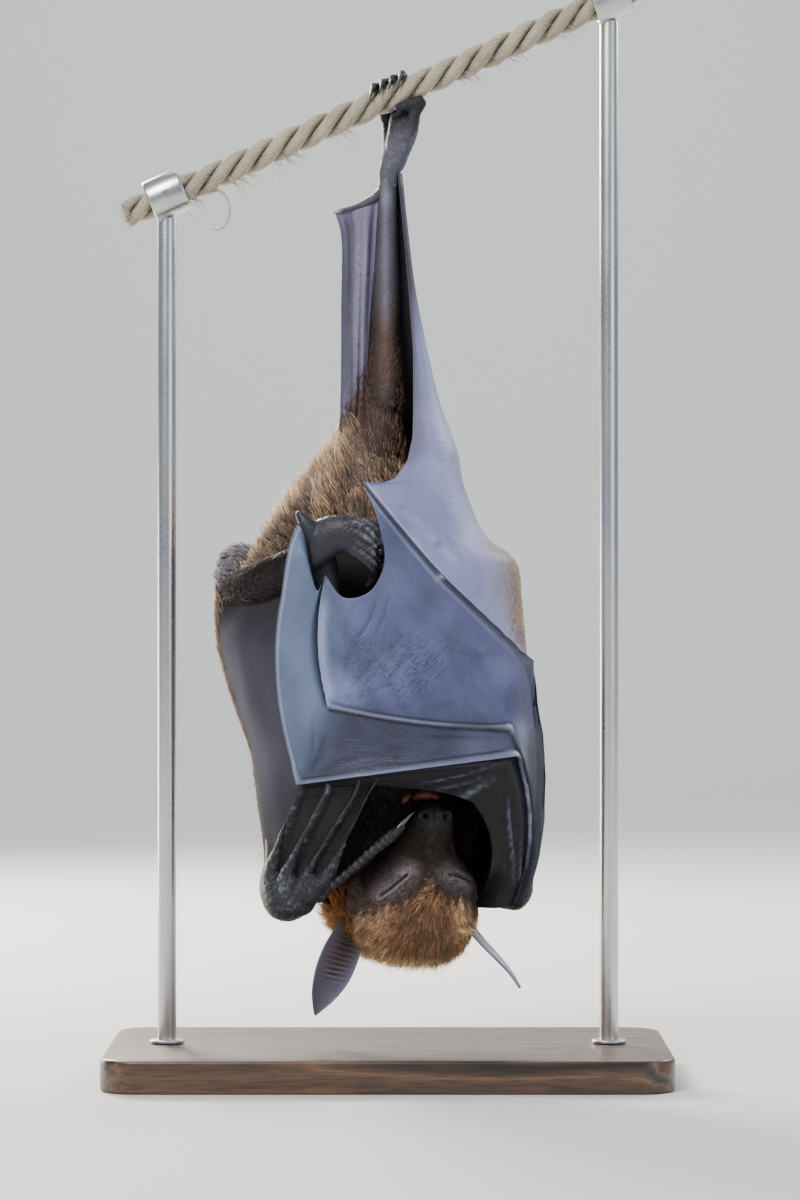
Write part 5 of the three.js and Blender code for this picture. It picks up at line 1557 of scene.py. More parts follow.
def palm_bone(finger):
    shares, sizes = np.array(PALM_BONE).T
    bone = bones(finger, shares)
    places = around(angle_of(*bone.T), bone[:, 1], -1.6)
    places[0] = 0.5 * places[0] + 0.5 * np.array([-42, -20, 77])
    return limb_rings(np.column_stack([places, sizes]).tolist(), (0, 1, 0), 14, 18)


knobbly([limb_rings(LEFT_WRIST)] + [palm_bone(finger) for finger in LEFT_FAN], 1.05, (0.130, 0.132, 0.170))
knobbly([limb_rings(RIGHT_WRIST)], 1.15, (0.075, 0.08, 0.10))

# The forearms and upper arms inside the folded wings, left and right.
ARMS_INSIDE = (
    ((-57, 9, 214, 5.4), (-57, 8, 203, 5.4), (-58, 6, 180, 4.4), (-54, 4, 145, 4.2), (-49, 0, 112, 4.2),
     (-48, -8, 90, 4.6)),
    ((40, 8, 218, 5.2), (42, 7, 208, 5.8), (47, 5, 190, 4.4), (54, 3, 150, 4.2), (56, 1, 112, 4.2),
     (55, -2, 90, 4.6)),
    ((36, 14, 116, 6), (41, 12, 165, 5.5), (41, 9, 202, 5.5)),
    ((-32, 14, 116, 6), (-41, 14, 160, 5.5), (-50, 11, 200, 5.4)),
)
for stations in ARMS_INSIDE:
    add_tube(limb_rings(stations, around_it=14, steps=16), LEFT_SKIN, LEATHERY)

# The skin from the shoulder to the wrist closes each wing's sleeve beside the neck. It lies deep inside the
# wing and is painted near-black as shade. Its corners: the wrist in front and the elbow side behind, then
# the same two at the neck.
NECK_WEBS = (
    ((55, 0, 80), (43, 17, 120), (22, 2, 66), (29, 13, 119)),
    ((-49, -12, 84), (-39, 16, 118), (-14, 2, 66), (-21, 13, 118)),
)
f, g = np.linspace(0, 1, 18)[:, None, None], np.linspace(0, 1, 16)[None, :, None]
for corners in NECK_WEBS:
    wrist, elbow_side, neck_low, neck_high = (np.array(p, float) for p in corners)
    web = (1 - f) * ((1 - g) * wrist + g * elbow_side) + f * ((1 - g) * neck_low + g * neck_high)
    web = web + np.array([0, 0, 7.0]) * f * (1 - f) * (1 - g) + np.array([0, 8.0, -6.0]) * f * (1 - f) * g
    web[..., 1] += 0.5 * np.sin(f[..., 0] * 30 + 2 * g[..., 0])
    add_sheet(web, web + np.array([0, 0.7, 0]), 0.3 * np.array(INNER_SHADE), (0, 0, 0))


# ------------------------------------------------------------------ claws
# Curved claws of dark polished horn, worn pale along their edges: one on each thumb and on each
# toe, those of the hanging foot hooked round the rope.

CLAW_DARK = (0.012, 0.011, 0.012, 1)
CLAW_STREAK = (0.05, 0.045, 0.045, 1)
CLAW_PALE = (0.30, 0.30, 0.33, 1)


def claw_rings(start, aim, bend, length, radius):
    """A claw from its root along an aim, bending over to a fine point."""
    start, aim, bend = np.array(start, float), unit(np.array(aim, float)), unit(np.array(bend, float))
    s = np.linspace(0, 1, 14)[:, None]
    line = start + length * (s * aim + 0.55 * s ** 2 * bend)
    ahead = unit(np.gradient(line, axis=0))
    across = unit(np.cross(aim, bend))
    size = radius * (1 - s ** 1.6) + 0.05
    return around_line(line, size * 0.62, across[None], size * 1.15, np.cross(across, ahead), even_turn(14))


CLAWS = {
    "thumb_claw_left": [claw_rings((4.4, -47.6, 108.2), (0.50, 0.02, 0.86), (0.60, 0.55, 0.2), 7.6, 1.5)],
    "thumb_claw_right": [claw_rings((50.2, -16.9, 104), (-0.32, -0.10, 0.9), (-0.6, 0.6, 0.1), 7.4, 1.5)],
    "toe_claws": [
        *(claw_rings(on_rope(along - 2.4, -44, ROPE["radius"] + 1.9),
                     (-0.25, -0.75, -0.6), (0, 0.6, -0.8), 5.2, 1.25) for along in TOES_ALONG),
        claw_rings(on_rope(-4.6, -134, 8.4), (-1, 0, -0.45), (0.1, 0.9, 0.2), 5.0, 1.3),
        *(claw_rings((-1.6 - n * 1.1, -39.4, 233.6 - 4 * n),
                     (0.65, 0.35, -0.65), (-0.5, 0.8, -0.3), 4.2, 1.1) for n in range(5))],
}


def horn():
    finish, tree, shader = new_finish("polished_horn")
    streak = cloudy(tree, place_in(tree), 700.0, 3.0)
    worn = span(tree, add(tree, "NewGeometry").outputs["Pointiness"], 0.52, 0.66, 0.0, 0.6)
    colour = ramp(tree, streak, (0.35, CLAW_DARK), (0.75, CLAW_STREAK))
    feed(tree, shader, {
        "Base Color": blend(tree, "MIX", worn, colour, CLAW_PALE),
        "Normal": bump(tree, streak, 0.15, 0.0001),
        "Roughness": 0.18, "Coat Weight": 0.4, "Coat Roughness": 0.1,
    })
    return finish


horn_finish = horn()
for name, shapes in CLAWS.items():
    claw = mesh_piece(name, *gathered([tube(rings) for rings in shapes]))
    claw.data.materials.append(horn_finish)
    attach(claw, "root")


# ------------------------------------------------------------------ the one skin
# All the flesh is covered by one skin: matt and downy under the coat, bare and faintly glossy on the wings,
# face, ears, feet and thumbs, with fine crinkles and pebbles, the crinkles' folds and fine lines painted in
# shade.

FLESH_NODES = [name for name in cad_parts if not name.startswith(("stand_", "perch_"))]
# Above this height the crinkles are dashes that lean over the panel; below they run across.
DASHES_ABOVE = (0.150, 0.162)
DASH_LEAN = math.radians(42)
DASHES = (330, 500, 1250)
CRINKLES_ACROSS = (180, 260, 1500)
# Scales of the cells that make its net of fine lines, its pale specks and its pebbles.
NET = 420.0
SPECKS = 520.0
PEBBLES = 1150.0
CRINKLE_SHADE = (0.30, 0.29, 0.33, 1)
SPECK_PALE = (0.20, 0.21, 0.27, 1)


def bat_skin():
    finish, tree, shader = new_finish("bat_skin")
    tint = add(tree, "VertexColor", layer_name="tint").outputs["Color"]
    crinkle, pebble, gloss = add(tree, "SeparateColor", {
        "Color": add(tree, "VertexColor", layer_name="relief").outputs["Color"]}).outputs
    place = place_in(tree)

    def cells(scale, vector=place, **settings):
        return add(tree, "TexVoronoi", {"Vector": vector, "Scale": scale}, **settings).outputs["Distance"]

    def turned(vector, **inputs):
        return add(tree, "Mapping", {"Vector": vector, **inputs}).outputs[0]

    warp = add(tree, "TexNoise", {"Vector": place, "Scale": 160.0, "Detail": 2.0}).outputs["Color"]
    warp = add(tree, "VectorMath", {0: warp, 1: (0.004, 0.004, 0.004)}, operation="MULTIPLY").outputs[0]
    moved = add(tree, "VectorMath", {0: place, 1: warp}, operation="ADD").outputs[0]
    lines = span(tree, cells(NET, moved, feature="DISTANCE_TO_EDGE"), 0.0, 0.16, 0.0, 1.0)
    fine = cloudy(tree, place, 1500.0, 3.0, 0.6)
    broad = cloudy(tree, place, 45.0, 4.0)
    across = cloudy(tree, stretched(tree, CRINKLES_ACROSS))
    dashes = cloudy(tree, turned(turned(place, Rotation=(0, DASH_LEAN, 0)), Scale=DASHES))
    height = add(tree, "SeparateXYZ", {"Vector": place}).outputs["Z"]
    above = span(tree, height, *DASHES_ABOVE, 0.0, 1.0)
    folds = add(tree, "Mix", {"Factor": above, "A": across, "B": dashes}).outputs[0]

    colour = blend(tree, "MULTIPLY", 1.0, tint, ramp(tree, broad, (0.3, 0.78), (0.7, 1.18)))
    colour = blend(tree, "MULTIPLY", 0.8, colour, ramp(tree, fine, (0.35, 0.82), (0.65, 1.12)))
    # The net of fine lines and the folds of the crinkles are painted darker, as shade.
    colour = blend(tree, "MULTIPLY", crinkle, colour, ramp(tree, lines, (0.0, 0.80), (1.0, 1.03)))
    dark = worked(tree, "MULTIPLY", span(tree, folds, 0.36, 0.45, 1.0, 0.0),
                  span(tree, crinkle, 0.45, 1.0, 0.0, 0.90))
    colour = blend(tree, "MULTIPLY", dark, colour, CRINKLE_SHADE)
    colour = blend(tree, "MIX", span(tree, cells(SPECKS), 0.05, 0.10, 0.28, 0.0), colour, SPECK_PALE)
    dents = bump(tree, lines, span(tree, crinkle, 0, 1, 0.0, 0.28), 0.00030)
    dents = bump(tree, folds, span(tree, crinkle, 0, 1, 0.08, 1.0), 0.00060, dents)
    pebbles = span(tree, cells(PEBBLES), 0.0, 0.6, 1.0, 0.0)
    dents = bump(tree, pebbles, span(tree, pebble, 0, 1, 0.0, 0.9), 0.0003, dents)
    feed(tree, shader, {
        "Base Color": blend(tree, "MIX", 0.25, colour, tint),
        "Normal": bump(tree, fine, 0.18, 0.00012, dents),
        "Roughness": worked(tree, "ADD", span(tree, gloss, -0.5, 1, 0.80, 0.26),
                            span(tree, broad, 0.3, 0.7, -0.04, 0.08)),
        "Specular IOR Level": 0.26,
    })
    return finish


skin = mesh_piece("skin", *gathered([shape[:2] for shape in flesh]),
                  np.concatenate([shape[2] for shape in flesh]))
add_colours(skin.data, "relief", np.concatenate([shape[3] for shape in flesh]))
skin.data.materials.append(bat_skin())
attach(skin, "root")
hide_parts(*FLESH_NODES)


# ------------------------------------------------------------------ coat
# Soft fur in thin tapering tufts laid over the skin, each one solid, rooted in the skin and
# gathered with its neighbours into locks. It is short on the legs and round the face, long on the
# crown, the mantle and the flanks, where pale tips stand out from the body.

COAT_SEED = 20417
UNWRAP_PATCH = 0.003
TUFT_LEVELS = (0, 0.36, 0.70, 1.0)
# How deep a tuft is rooted and how far it waves, as shares of its length, and how much of its lift
# its tip loses again.
TUFT_ROOTED = 0.08
TUFT_WAVE = 0.18
TUFT_DROOP = 0.45
TUFT_CORNERS = 10
TUFT_QUADS = [[3 * r + k, 3 * r + (k + 1) % 3, 3 * r + 3 + (k + 1) % 3, 3 * r + 3 + k]
              for r in range(2) for k in range(3)]
TUFT_TIPS = [[6 + k, 6 + (k + 1) % 3, 9] for k in range(3)] + [[2, 1, 0]]

# Root, middle and tip of the hair of each part of the coat.
CROWN_HAIR = ((0.022, 0.010, 0.005), (0.36, 0.155, 0.062), (1.0, 0.84, 0.56))
MANTLE_HAIR = ((0.050, 0.018, 0.007), (0.40, 0.150, 0.038), (0.96, 0.58, 0.18))
NAPE_BACKLIT_HAIR = ((0.14, 0.06, 0.02), (0.60, 0.28, 0.10), (1.0, 0.80, 0.48))
FLANK_BACKLIT_HAIR = ((0.34, 0.23, 0.16), (0.92, 0.74, 0.56), (1.0, 0.94, 0.78))
OUTLINE_HAIR = ((0.30, 0.19, 0.12), (0.66, 0.44, 0.26), (0.86, 0.66, 0.42))
BACK_HAIR = ((0.030, 0.018, 0.013), (0.120, 0.070, 0.045), (0.42, 0.28, 0.16))
LEG_HAIR = ((0.034, 0.020, 0.016), (0.165, 0.094, 0.064), (0.62, 0.40, 0.23))
CALF_HAIR = ((0.020, 0.012, 0.011), (0.080, 0.045, 0.038), (0.21, 0.125, 0.095))
SHANK_HAIR = ((0.010, 0.007, 0.008), (0.028, 0.018, 0.018), (0.085, 0.052, 0.042))
ELBOW_BACKLIT_HAIR = ((0.11, 0.099, 0.121), (0.286, 0.259, 0.303), (0.522, 0.495, 0.495))
DOWN_HAIR = ((0.26, 0.22, 0.23), (0.36, 0.31, 0.33), (0.55, 0.46, 0.44))
VELVET_RIM_LIT_HAIR = ((0.24, 0.16, 0.12), (0.50, 0.36, 0.25), (0.98, 0.72, 0.44))
MUZZLE_HAIR = ((0.005, 0.004, 0.003), (0.014, 0.010, 0.007), (0.044, 0.032, 0.021))
CHEEK_HAIR = ((0.010, 0.007, 0.006), (0.042, 0.027, 0.021), (0.150, 0.088, 0.058))
LID_HAIR = ((0.045, 0.034, 0.036), (0.140, 0.106, 0.108), (0.32, 0.245, 0.240))


def named(places, normals, **more):
    """Places and their outward normals, with each coordinate under its own name too."""
    x, y, z = np.moveaxis(places, -1, 0)
    nx, ny, nz = np.moveaxis(normals, -1, 0)
    return SimpleNamespace(places=places, normals=normals, x=x, y=y, z=z, nx=nx, ny=ny, nz=nz, **more)


def planted(grid, count, keep, cell, closed=True):
    """Roots spread evenly over a grid of places, fewer where keep is below 1, with their places on
    the unwrap, in the grid's own cell of it (its corner, width and height)."""
    normals = grid_normals(grid, closed)
    if closed:
        grid, normals = (np.concatenate([a, a[:, :1]], 1) for a in (grid, normals))
    corner = (grid[:-1, :-1], grid[:-1, 1:], grid[1:, :-1], grid[1:, 1:])
    area = np.linalg.norm(np.cross(corner[1] - corner[0], corner[2] - corner[0]), axis=-1)
    weight = area * np.clip(keep(named(sum(corner) / 4, normals[:-1, :-1])), 0, 1)
    picked = np.searchsorted(np.cumsum(weight.ravel()), coat_dice.random(count) * weight.sum())
    i, j = np.unravel_index(np.minimum(picked, weight.size - 1), weight.shape)
    f, g = coat_dice.random(count)[:, None], coat_dice.random(count)[:, None]

    def between(field):
        a, b, c, d = (field[i + m, j + n] for m in (0, 1) for n in (0, 1))
        return (a * (1 - g) + b * g) * (1 - f) + (c * (1 - g) + d * g) * f

    unwrap = np.stack([cell[0] + cell[2] * (j + g[:, 0]) / weight.shape[1],
                       cell[1] + cell[3] * (i + f[:, 0]) / weight.shape[0]], -1)
    return named(between(grid), unit(between(normals)), unwrap=unwrap)


def lock_leaders(places, lock):
    """For each root, the nearest of every so many roots: its lock gathers round that one."""
    leaders = np.arange(0, len(places), lock)
    tree = kdtree.KDTree(len(leaders))
    for n, k in enumerate(leaders):
        tree.insert(places[k], n)
    tree.balance()
    return leaders[[tree.find(p)[1] for p in places]]


def grown(roots, lie, length, lift, hair, width, lock=14, pull=0.45, varied=1.0):
    """Grows a tuft at each root, pulled in with the rest of its lock and as varied in shade as told:
    its corners, colours and places on the unwrap."""
    places, normals, count = roots.places, roots.normals, len(roots.x)
    lie, length, lift = (np.broadcast_to(np.asarray(v, float), shape)
                         for v, shape in ((lie, (count, 3)), (length, count), (lift, count)))
    lie = unit(lie - np.einsum("ij,ij->i", lie, normals)[:, None] * normals)
    aside = np.cross(normals, lie)
    reach = (length * coat_dice.uniform(0.72, 1.18, count))[:, None, None]
    lift = (lift * coat_dice.uniform(0.6, 1.4, count))[:, None, None]
    forward = unit(lie + coat_dice.normal(0, 0.16, count)[:, None] * aside)
    s = np.array(TUFT_LEVELS)[None, :, None]
    line = (places[:, None] - TUFT_ROOTED * reach * normals[:, None] + reach * (
        s * forward[:, None] + (lift * s - TUFT_DROOP * lift * s ** 2) * normals[:, None]
        + TUFT_WAVE * coat_dice.normal(0, 1, count)[:, None, None] * s ** 2 * aside[:, None]))
    own = lock_leaders(places, lock)
    near = np.linalg.norm(places[own] - places, axis=-1)
    gather = pull * np.exp(-(near / np.maximum(0.6 * reach[:, 0, 0], 0.8)) ** 2)[:, None, None] * s ** 1.4
    line = line + gather * (line[own] - line)
    mood = coat_dice.normal(0, 1, count)
    shade = np.exp(varied * (0.15 * mood[own] + 0.25 * mood))[:, None, None]
    root, middle, tip = (np.broadcast_to(np.asarray(part, float), (count, 3)) for part in hair)
    pale = np.clip(0.60 + 0.22 * mood[own] + 0.36 * coat_dice.normal(0, 1, count), 0.02, 1.1)[:, None]
    tones = shade * np.stack([root, mix(root, middle, 0.75), middle, middle + pale * (tip - middle)], 1)
    shrink = (1 - s[:, :-1] ** 1.7) * width * coat_dice.uniform(0.8, 1.25, count)[:, None, None]
    turn = np.radians([90, 210, 330])
    rings = (line[:, :-1, None] + (shrink * np.cos(turn))[..., None] * aside[:, None, None]
             + (0.6 * shrink * np.sin(turn))[..., None] * normals[:, None, None])
    corners = np.concatenate([rings.reshape(count, -1, 3), line[:, -1:]], 1)
    tint = np.concatenate([np.repeat(tones[:, :3], 3, 1), tones[:, 3:]], 1)
    k = np.arange(TUFT_CORNERS)
    spot = np.stack([(k % 3) / 3, np.minimum(k // 3, 3) / 3], -1) * UNWRAP_PATCH
    return corners, tint, roots.unwrap[:, None] + spot[None]


def blended(hair, other, share):
    return [mix(a, b, share) for a, b in zip(hair, other)]


def fur_finish(name, roughness, sheen=0.12, specular=0.30):
    finish, tree, shader = new_finish(name)
    tint = add(tree, "VertexColor", layer_name="tint").outputs["Color"]
    streak, patch = cloudy(tree, place_in(tree), 900.0), cloudy(tree, place_in(tree), 70.0, 3.0)
    colour = blend(tree, "MULTIPLY", 1.0, tint, ramp(tree, patch, (0.32, 0.70), (0.68, 1.25)))
    feed(tree, shader, {
        "Base Color": blend(tree, "MULTIPLY", 0.7, colour, ramp(tree, streak, (0.3, 0.75), (0.7, 1.2))),
        "Roughness": roughness, "Specular IOR Level": specular,
        "Sheen Weight": sheen, "Sheen Roughness": 0.45,
    })
    return finish


def coat_piece(name, tufts, finish):
    """One piece of the coat from batches of grown tufts."""
    corners, tint, unwrap = (np.concatenate(parts) for parts in zip(*tufts))
    first = (TUFT_CORNERS * np.arange(len(corners)))[:, None, None]
    # Tufts lie on both sides of a left-handed frame; each is turned face out by its own volume.
    a, b, c = corners[:, 0], corners[:, 1], corners[:, 2]
    inward = np.einsum("ij,ij->i", np.cross(b - a, c - a), corners[:, 9] - a) < 0
    faces = [np.array(sides)[None] + first for sides in (TUFT_QUADS, TUFT_TIPS)]
    faces = [np.where(inward[:, None, None], sides[..., ::-1], sides) for sides in faces]
    faces = [sides.reshape(-1, sides.shape[-1]) for sides in faces]
    loops = np.concatenate([sides.ravel() for sides in faces])
    piece = mesh_piece(name, corners.reshape(-1, 3), faces, tint.reshape(-1, 3),
                       unwrap.reshape(-1, 2)[loops])
    piece.data.materials.append(finish)
    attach(piece, "root")


coat_dice = np.random.default_rng(COAT_SEED)
crown_finish = fur_finish("crown_coat", 0.42)
body_finish = fur_finish("body_coat", 0.48)
face_finish = fur_finish("face_coat", 0.60, 0.02, 0.12)

# The crown: hair sweeps from the peak between the eyes over the crown and up the nape. Its upper
# edge across the face and the edge of its golden part, as (x, z).
FUR_LINE = ((-30, 104), (-17, 98), (-12, 90), (-9, 79), (-6, 76.2), (0.4, 76.6), (6, 79.0), (11.5, 83.0),
            (18.4, 90.0), (22.5, 84.6), (27.3, 80.8), (34.8, 80.6), (37.5, 84), (42, 92))
GOLD_LINE = ((-30, 60), (-14.4, 67.4), (-2.3, 73.4), (9.1, 77.6), (13.4, 82), (18.6, 88), (22.7, 80.4),
             (30.5, 76), (38.4, 72))
HEAD_CELL = (0, 0, 1, 1)
CROWN_PARTS = {
    "left": (9600, lambda at: (at.ny < 0.05) & (at.x < 11)),
    "right": (9600, lambda at: (at.ny < 0.05) & (at.x >= 11)),
    "back": (8200, lambda at: at.ny >= 0.05),
}


def depth_below(x, z, line):
    """How far a place on the face lies below a line across it."""
    return np.interp(x, *np.array(line, float).T) - z


def crown_keep(at):
    on_face = fade(depth_below(at.x, at.z, FUR_LINE) + 1.2 * np.sin(at.x * 1.9), -0.6, 2.0)
    behind = fade(at.ny, 0.0, 0.3) * (at.z < 104)
    side = fade(np.abs(at.x - 13) - 0.35 * (104 - at.z), 11, 15) * (at.z < 100) * (at.ny > -0.35)
    return np.maximum(np.maximum(on_face * (at.ny < 0.3), behind), 0.8 * side)


def crown_hair(at, face, nape, cheek):
    """Dark in the middle of the crown and brown between the eyes; its sides are painted pale as lit, and
    the hair facing down below is painted glowing pale as lit from behind.
    """
    root, middle, tip = CROWN_HAIR
    patch = mound(np.hypot(at.x - 16, (at.z - 62) * 0.8), 12) * face
    # The sides are painted pale, as lit.
    side = fade(np.abs(at.x - 14), 9, 17) * face * np.where(at.x > 14, 0.72, 1.0)
    # The hair facing down is painted pale gold, here and in its tips below, a glow as if lit from behind.
    under = fade(-at.nz, 0.62, 0.92) * (1 - 0.8 * nape)
    peak = spot_at(at.x, at.z, (16, 80), 11, 13) * face
    root = mix(root, (0.42, 0.24, 0.08), 0.8 * under)
    middle = painted(middle, ((0.062, 0.035, 0.021), 0.92 * patch), ((1.0, 0.64, 0.36), 0.92 * side),
                     ((1.0, 0.76, 0.38), 0.95 * under), ((0.26, 0.125, 0.058), 0.7 * peak))
    tip = painted(tip, ((1.0, 0.84, 0.62), 0.8 * peak), ((0.26, 0.150, 0.072), 0.92 * patch),
                  ((1.0, 0.84, 0.58), 0.8 * side),
                  ((1.0, 0.94, 0.66), 0.98 * fade(-at.nz, 0.3, 0.85) * (1 - 0.8 * nape)),
                  (MANTLE_HAIR[2], 0.6 * nape))
    return blended((root, middle, tip), CHEEK_HAIR, 0.92 * cheek)


for part, (count, facing) in CROWN_PARTS.items():
    at = planted(head_grid, count, lambda at: crown_keep(at) * facing(at), HEAD_CELL)
    nape = fade(at.y, 0, 13)
    lie = unit(at.places - np.array([18.5, -15.0, 90.0]))
    lie = lie * (1 - nape[:, None]) + nape[:, None] * np.array([0, 0.25, 1.0])
    deep = np.clip(depth_below(at.x, at.z, FUR_LINE), 0, 40)
    low = fade(-at.nz, 0.1, 0.85)
    face = fade(-at.ny, 0.2, 0.7) * (1 - low)
    length = np.where(at.ny > 0.2, 7.5, 2.6 + 5.4 * fade(deep, 0, 16) + 0.8 * low)
    lift = 0.42 + 0.22 * fade(deep, 4, 22) + 0.40 * low
    ragged = 1.6 * np.sin(at.x * 1.7) + 1.2 * np.sin(at.x * 0.63 + 1) + coat_dice.normal(0, 1.3, count)
    cheek = fall(depth_below(at.x, at.z, GOLD_LINE) + ragged, -2.2, 2.4) * (at.ny < 0.3)
    hair = crown_hair(at, face, nape, cheek)
    tufts = grown(at, lie, length * (1 - 0.35 * cheek), lift, hair, 0.16, 8, varied=1.6)
    coat_piece("crown_coat_" + part, [tufts], crown_finish)


# The muzzle and the lids: the shortest hair, bare at the slits of the eyes and on the nose.
def from_lid(at):
    return np.minimum(*(line_distance(at.x, at.z, eye)[0] for eye in EYES))


def muzzle_keep(at):
    below = (at.z > 72) * (depth_below(at.x, at.z, FUR_LINE) < 2.5)
    return fade(from_lid(at), 0.9, 1.8) * fall(at.z, 108.5, 111) * (at.ny < 0.2) * below


at = planted(head_grid, 11800, muzzle_keep, HEAD_CELL)
by_lid = mound(from_lid(at) - 2, 5.2)
length = 1.9 - 0.6 * fade(at.z, 84, 96) - 0.4 * by_lid
muzzle = grown(at, at.places - np.array([19.5, -40.0, 114.0]), length, 0.34,
               blended(MUZZLE_HAIR, LID_HAIR, by_lid), 0.15, 9, 0.2)
coat_piece("muzzle_coat", [muzzle], face_finish)

# Mantle, back and breast: long hair lying up the body, parted only by the wings' flanks.
TRUNK_CELL = (0, 0, 0.5, 1)


def body_tufts(count, low, high, shown, length, lift, hair, width=0.40):
    at = planted(trunk_grid, count, lambda at: (at.z > low) * (at.z < high) * shown(at), TRUNK_CELL)
    lie = np.array([0, 0.15, 1.0]) + 0.25 * at.normals * np.array([1, 0.4, 0])
    return grown(at, lie, length, lift, hair, width, 13)


corners, tint, unwrap = body_tufts(
    8700, 58, 112, lambda at: np.where(at.ny > -0.45, 1, 0.45), 11.0, 0.95, MANTLE_HAIR)
# Down the back its orange runs out into brown; between the throat and the wings, and at its right inside
# the wing, it is painted in shade.
x, y, z = np.moveaxis(corners, -1, 0)
tint = mix(tint, tint * np.array([0.40, 0.48, 0.95]), fade(z, 84, 114))
shaded = np.maximum(fade(-y, -5, 3) * fade(z, 74, 88), 0.8 * fade(x, 24, 32))
mantle = (corners, mix(tint, 0.05 * tint * np.array([0.9, 1.0, 1.1]), shaded), unwrap)
# The breast, hidden between the muzzle and the wings, gets the shank's near-black hair: painted shade.
breast = body_tufts(1500, 96, 126, lambda at: at.ny < -0.3, 6.0, 0.5, SHANK_HAIR)
# At the left the nape shows between the ear and the wrist, its tips painted glowing pale where it faces
# left, as if lit from behind.
at = planted(trunk_grid, 1900, lambda at: (at.x < -8) * (at.z < 79) * (at.z > 60) * (at.ny < 0.75),
             (0.5, 0, 0.5, 0.4))
nape = grown(at, (-0.6, 0.1, -0.9), 8.5, 0.9,
             blended(MANTLE_HAIR, NAPE_BACKLIT_HAIR, fade(-at.nx, 0.55, 0.95)), 0.24, 10)
coat_piece("mantle_coat", [mantle, breast, nape], crown_finish)
back = body_tufts(10200, 108, 252, lambda at: fade(at.ny, 0.45, 0.7), 9.0, 0.45, BACK_HAIR, 0.5)
coat_piece("back_coat", [back], body_finish)

# Flank and rump: the longest hair, standing out to the bat's left with pale golden tips painted where it
# faces left, as if lit from behind, and along the outline thin spikes that stand out one by one.
THIGH_CELL = (0.5, 0, 0.5, 0.5)


def flank_hair(at):
    turned = fall(-at.ny, 0.35, 0.85) * fall(at.ny, 0.25, 0.75)
    clouds = np.clip(0.85 + 1.3 * rough(at.x, at.y, at.z, 8, 2.9), 0.25, 1)
    low_back = fall(at.z, 232, 264) * fade(at.ny, -0.2, 0.3)
    # Hair facing the left is painted pale cream, as if lit from behind.
    return blended(LEG_HAIR, FLANK_BACKLIT_HAIR,
                   0.05 + 0.95 * turned * fade(-at.nx, -0.1, 0.3) * clouds * (1 - 0.9 * low_back))


def rump_shown(at):
    front = fade(-at.ny, 0.3, 0.8) * (at.z > 226)
    shown = np.maximum((0.30 + 0.70 * fade(-at.nx, -0.1, 0.5)) * (at.z > 238), 0.75 * front)
    return shown * (at.z > 196) * (at.z < 290)


def outline_shown(at):
    return fade(-at.nx, 0.15, 0.5) * (np.abs(at.ny) < 0.85) * (at.z > 214) * (at.x > -62)


rump = planted(trunk_grid, 6200, rump_shown, TRUNK_CELL)
thigh = planted(thigh_left_grid, 4400, lambda at: at.x < -14, THIGH_CELL)
tufts = []
for at, side in ((rump, (-0.35, -0.1, 1.0)), (thigh, (-0.75, -0.1, 0.75))):
    out = fade(-at.nx, 0.1, 0.8)
    length = (6.0 + 2.4 * out) * (1 - 0.45 * fade(-at.x, 42, 60))
    tufts.append(grown(at, unit(np.array(side) + 0.2 * at.normals), length,
                       0.45 + 0.65 * out, flank_hair(at), 0.34, 12, 0.4))
for grid, count, keep, cell in (
        (trunk_grid, 1000, lambda at: outline_shown(at) * (at.z > 226) * (at.z < 292), TRUNK_CELL),
        (thigh_left_grid, 700, outline_shown, THIGH_CELL)):
    at = planted(grid, count, keep, cell)
    tufts.append(grown(at, unit(np.array([-0.5, -0.1, 1.0]) + 0.5 * at.normals),
                       8.6 * (1 - 0.5 * fade(-at.x, 42, 60)), 1.25, OUTLINE_HAIR, 0.24, 4, 0.5))
coat_piece("flank_coat", tufts, body_finish)


# Legs: short brown hair thinning out up the shank and over the lower half of the tail skin.
def leg_keep(at):
    return 1 - 0.98 * fade(at.z - 2.2 * np.minimum(at.x + 6, 0), 294, 324) - 0.5 * (at.z > 330)


def tail_keep(at):
    return 1 - 0.99 * fade(at.z - 2.2 * (at.x + 20), 262, 288)


tufts = []
for grid, count, length, keep, cell in (
        (thigh_right_grid, 3900, 4.6, leg_keep, (0, 0, 0.3, 0.5)),
        (shank_right_grid, 1800, 2.8, leg_keep, (0.3, 0, 0.3, 0.5)),
        (tail_grid, 3200, 3.6, tail_keep, (0.6, 0, 0.4, 0.5))):
    at = planted(grid, count, keep, cell, closed=grid is not tail_grid)
    if grid is tail_grid:
        # The sheet's fur is on its front.
        at.normals = at.normals * -np.sign(at.normals[:, 1:2])
    thin, high = 1 - 0.45 * fade(at.z, 280, 330), fade(at.z, 266, 292)
    tufts.append(grown(at, (-0.25, 0.0, 1.0), length * thin, 0.38 - 0.12 * high,
                       blended(LEG_HAIR, CALF_HAIR, high), 0.24, 9, 0.35))
coat_piece("leg_coat", tufts, body_finish)

at = planted(shank_left_grid, 4200, lambda at: fall(at.x, -44, -36), (0, 0, 0.4, 0.5))
shank = grown(at, (0.75, -0.4, 0.35), 3.6, 0.62, SHANK_HAIR, 0.24, 8, 0.3)
# The left elbow's hair is painted pale as lit from behind.
at = planted(elbow_left_grid, 1100, lambda at: 1 + 0 * at.x, (0.4, 0.5, 0.2, 0.5))
elbow = grown(at, (-0.75, -0.1, 0.4), 4.2, 0.8, ELBOW_BACKLIT_HAIR, 0.22, 8)

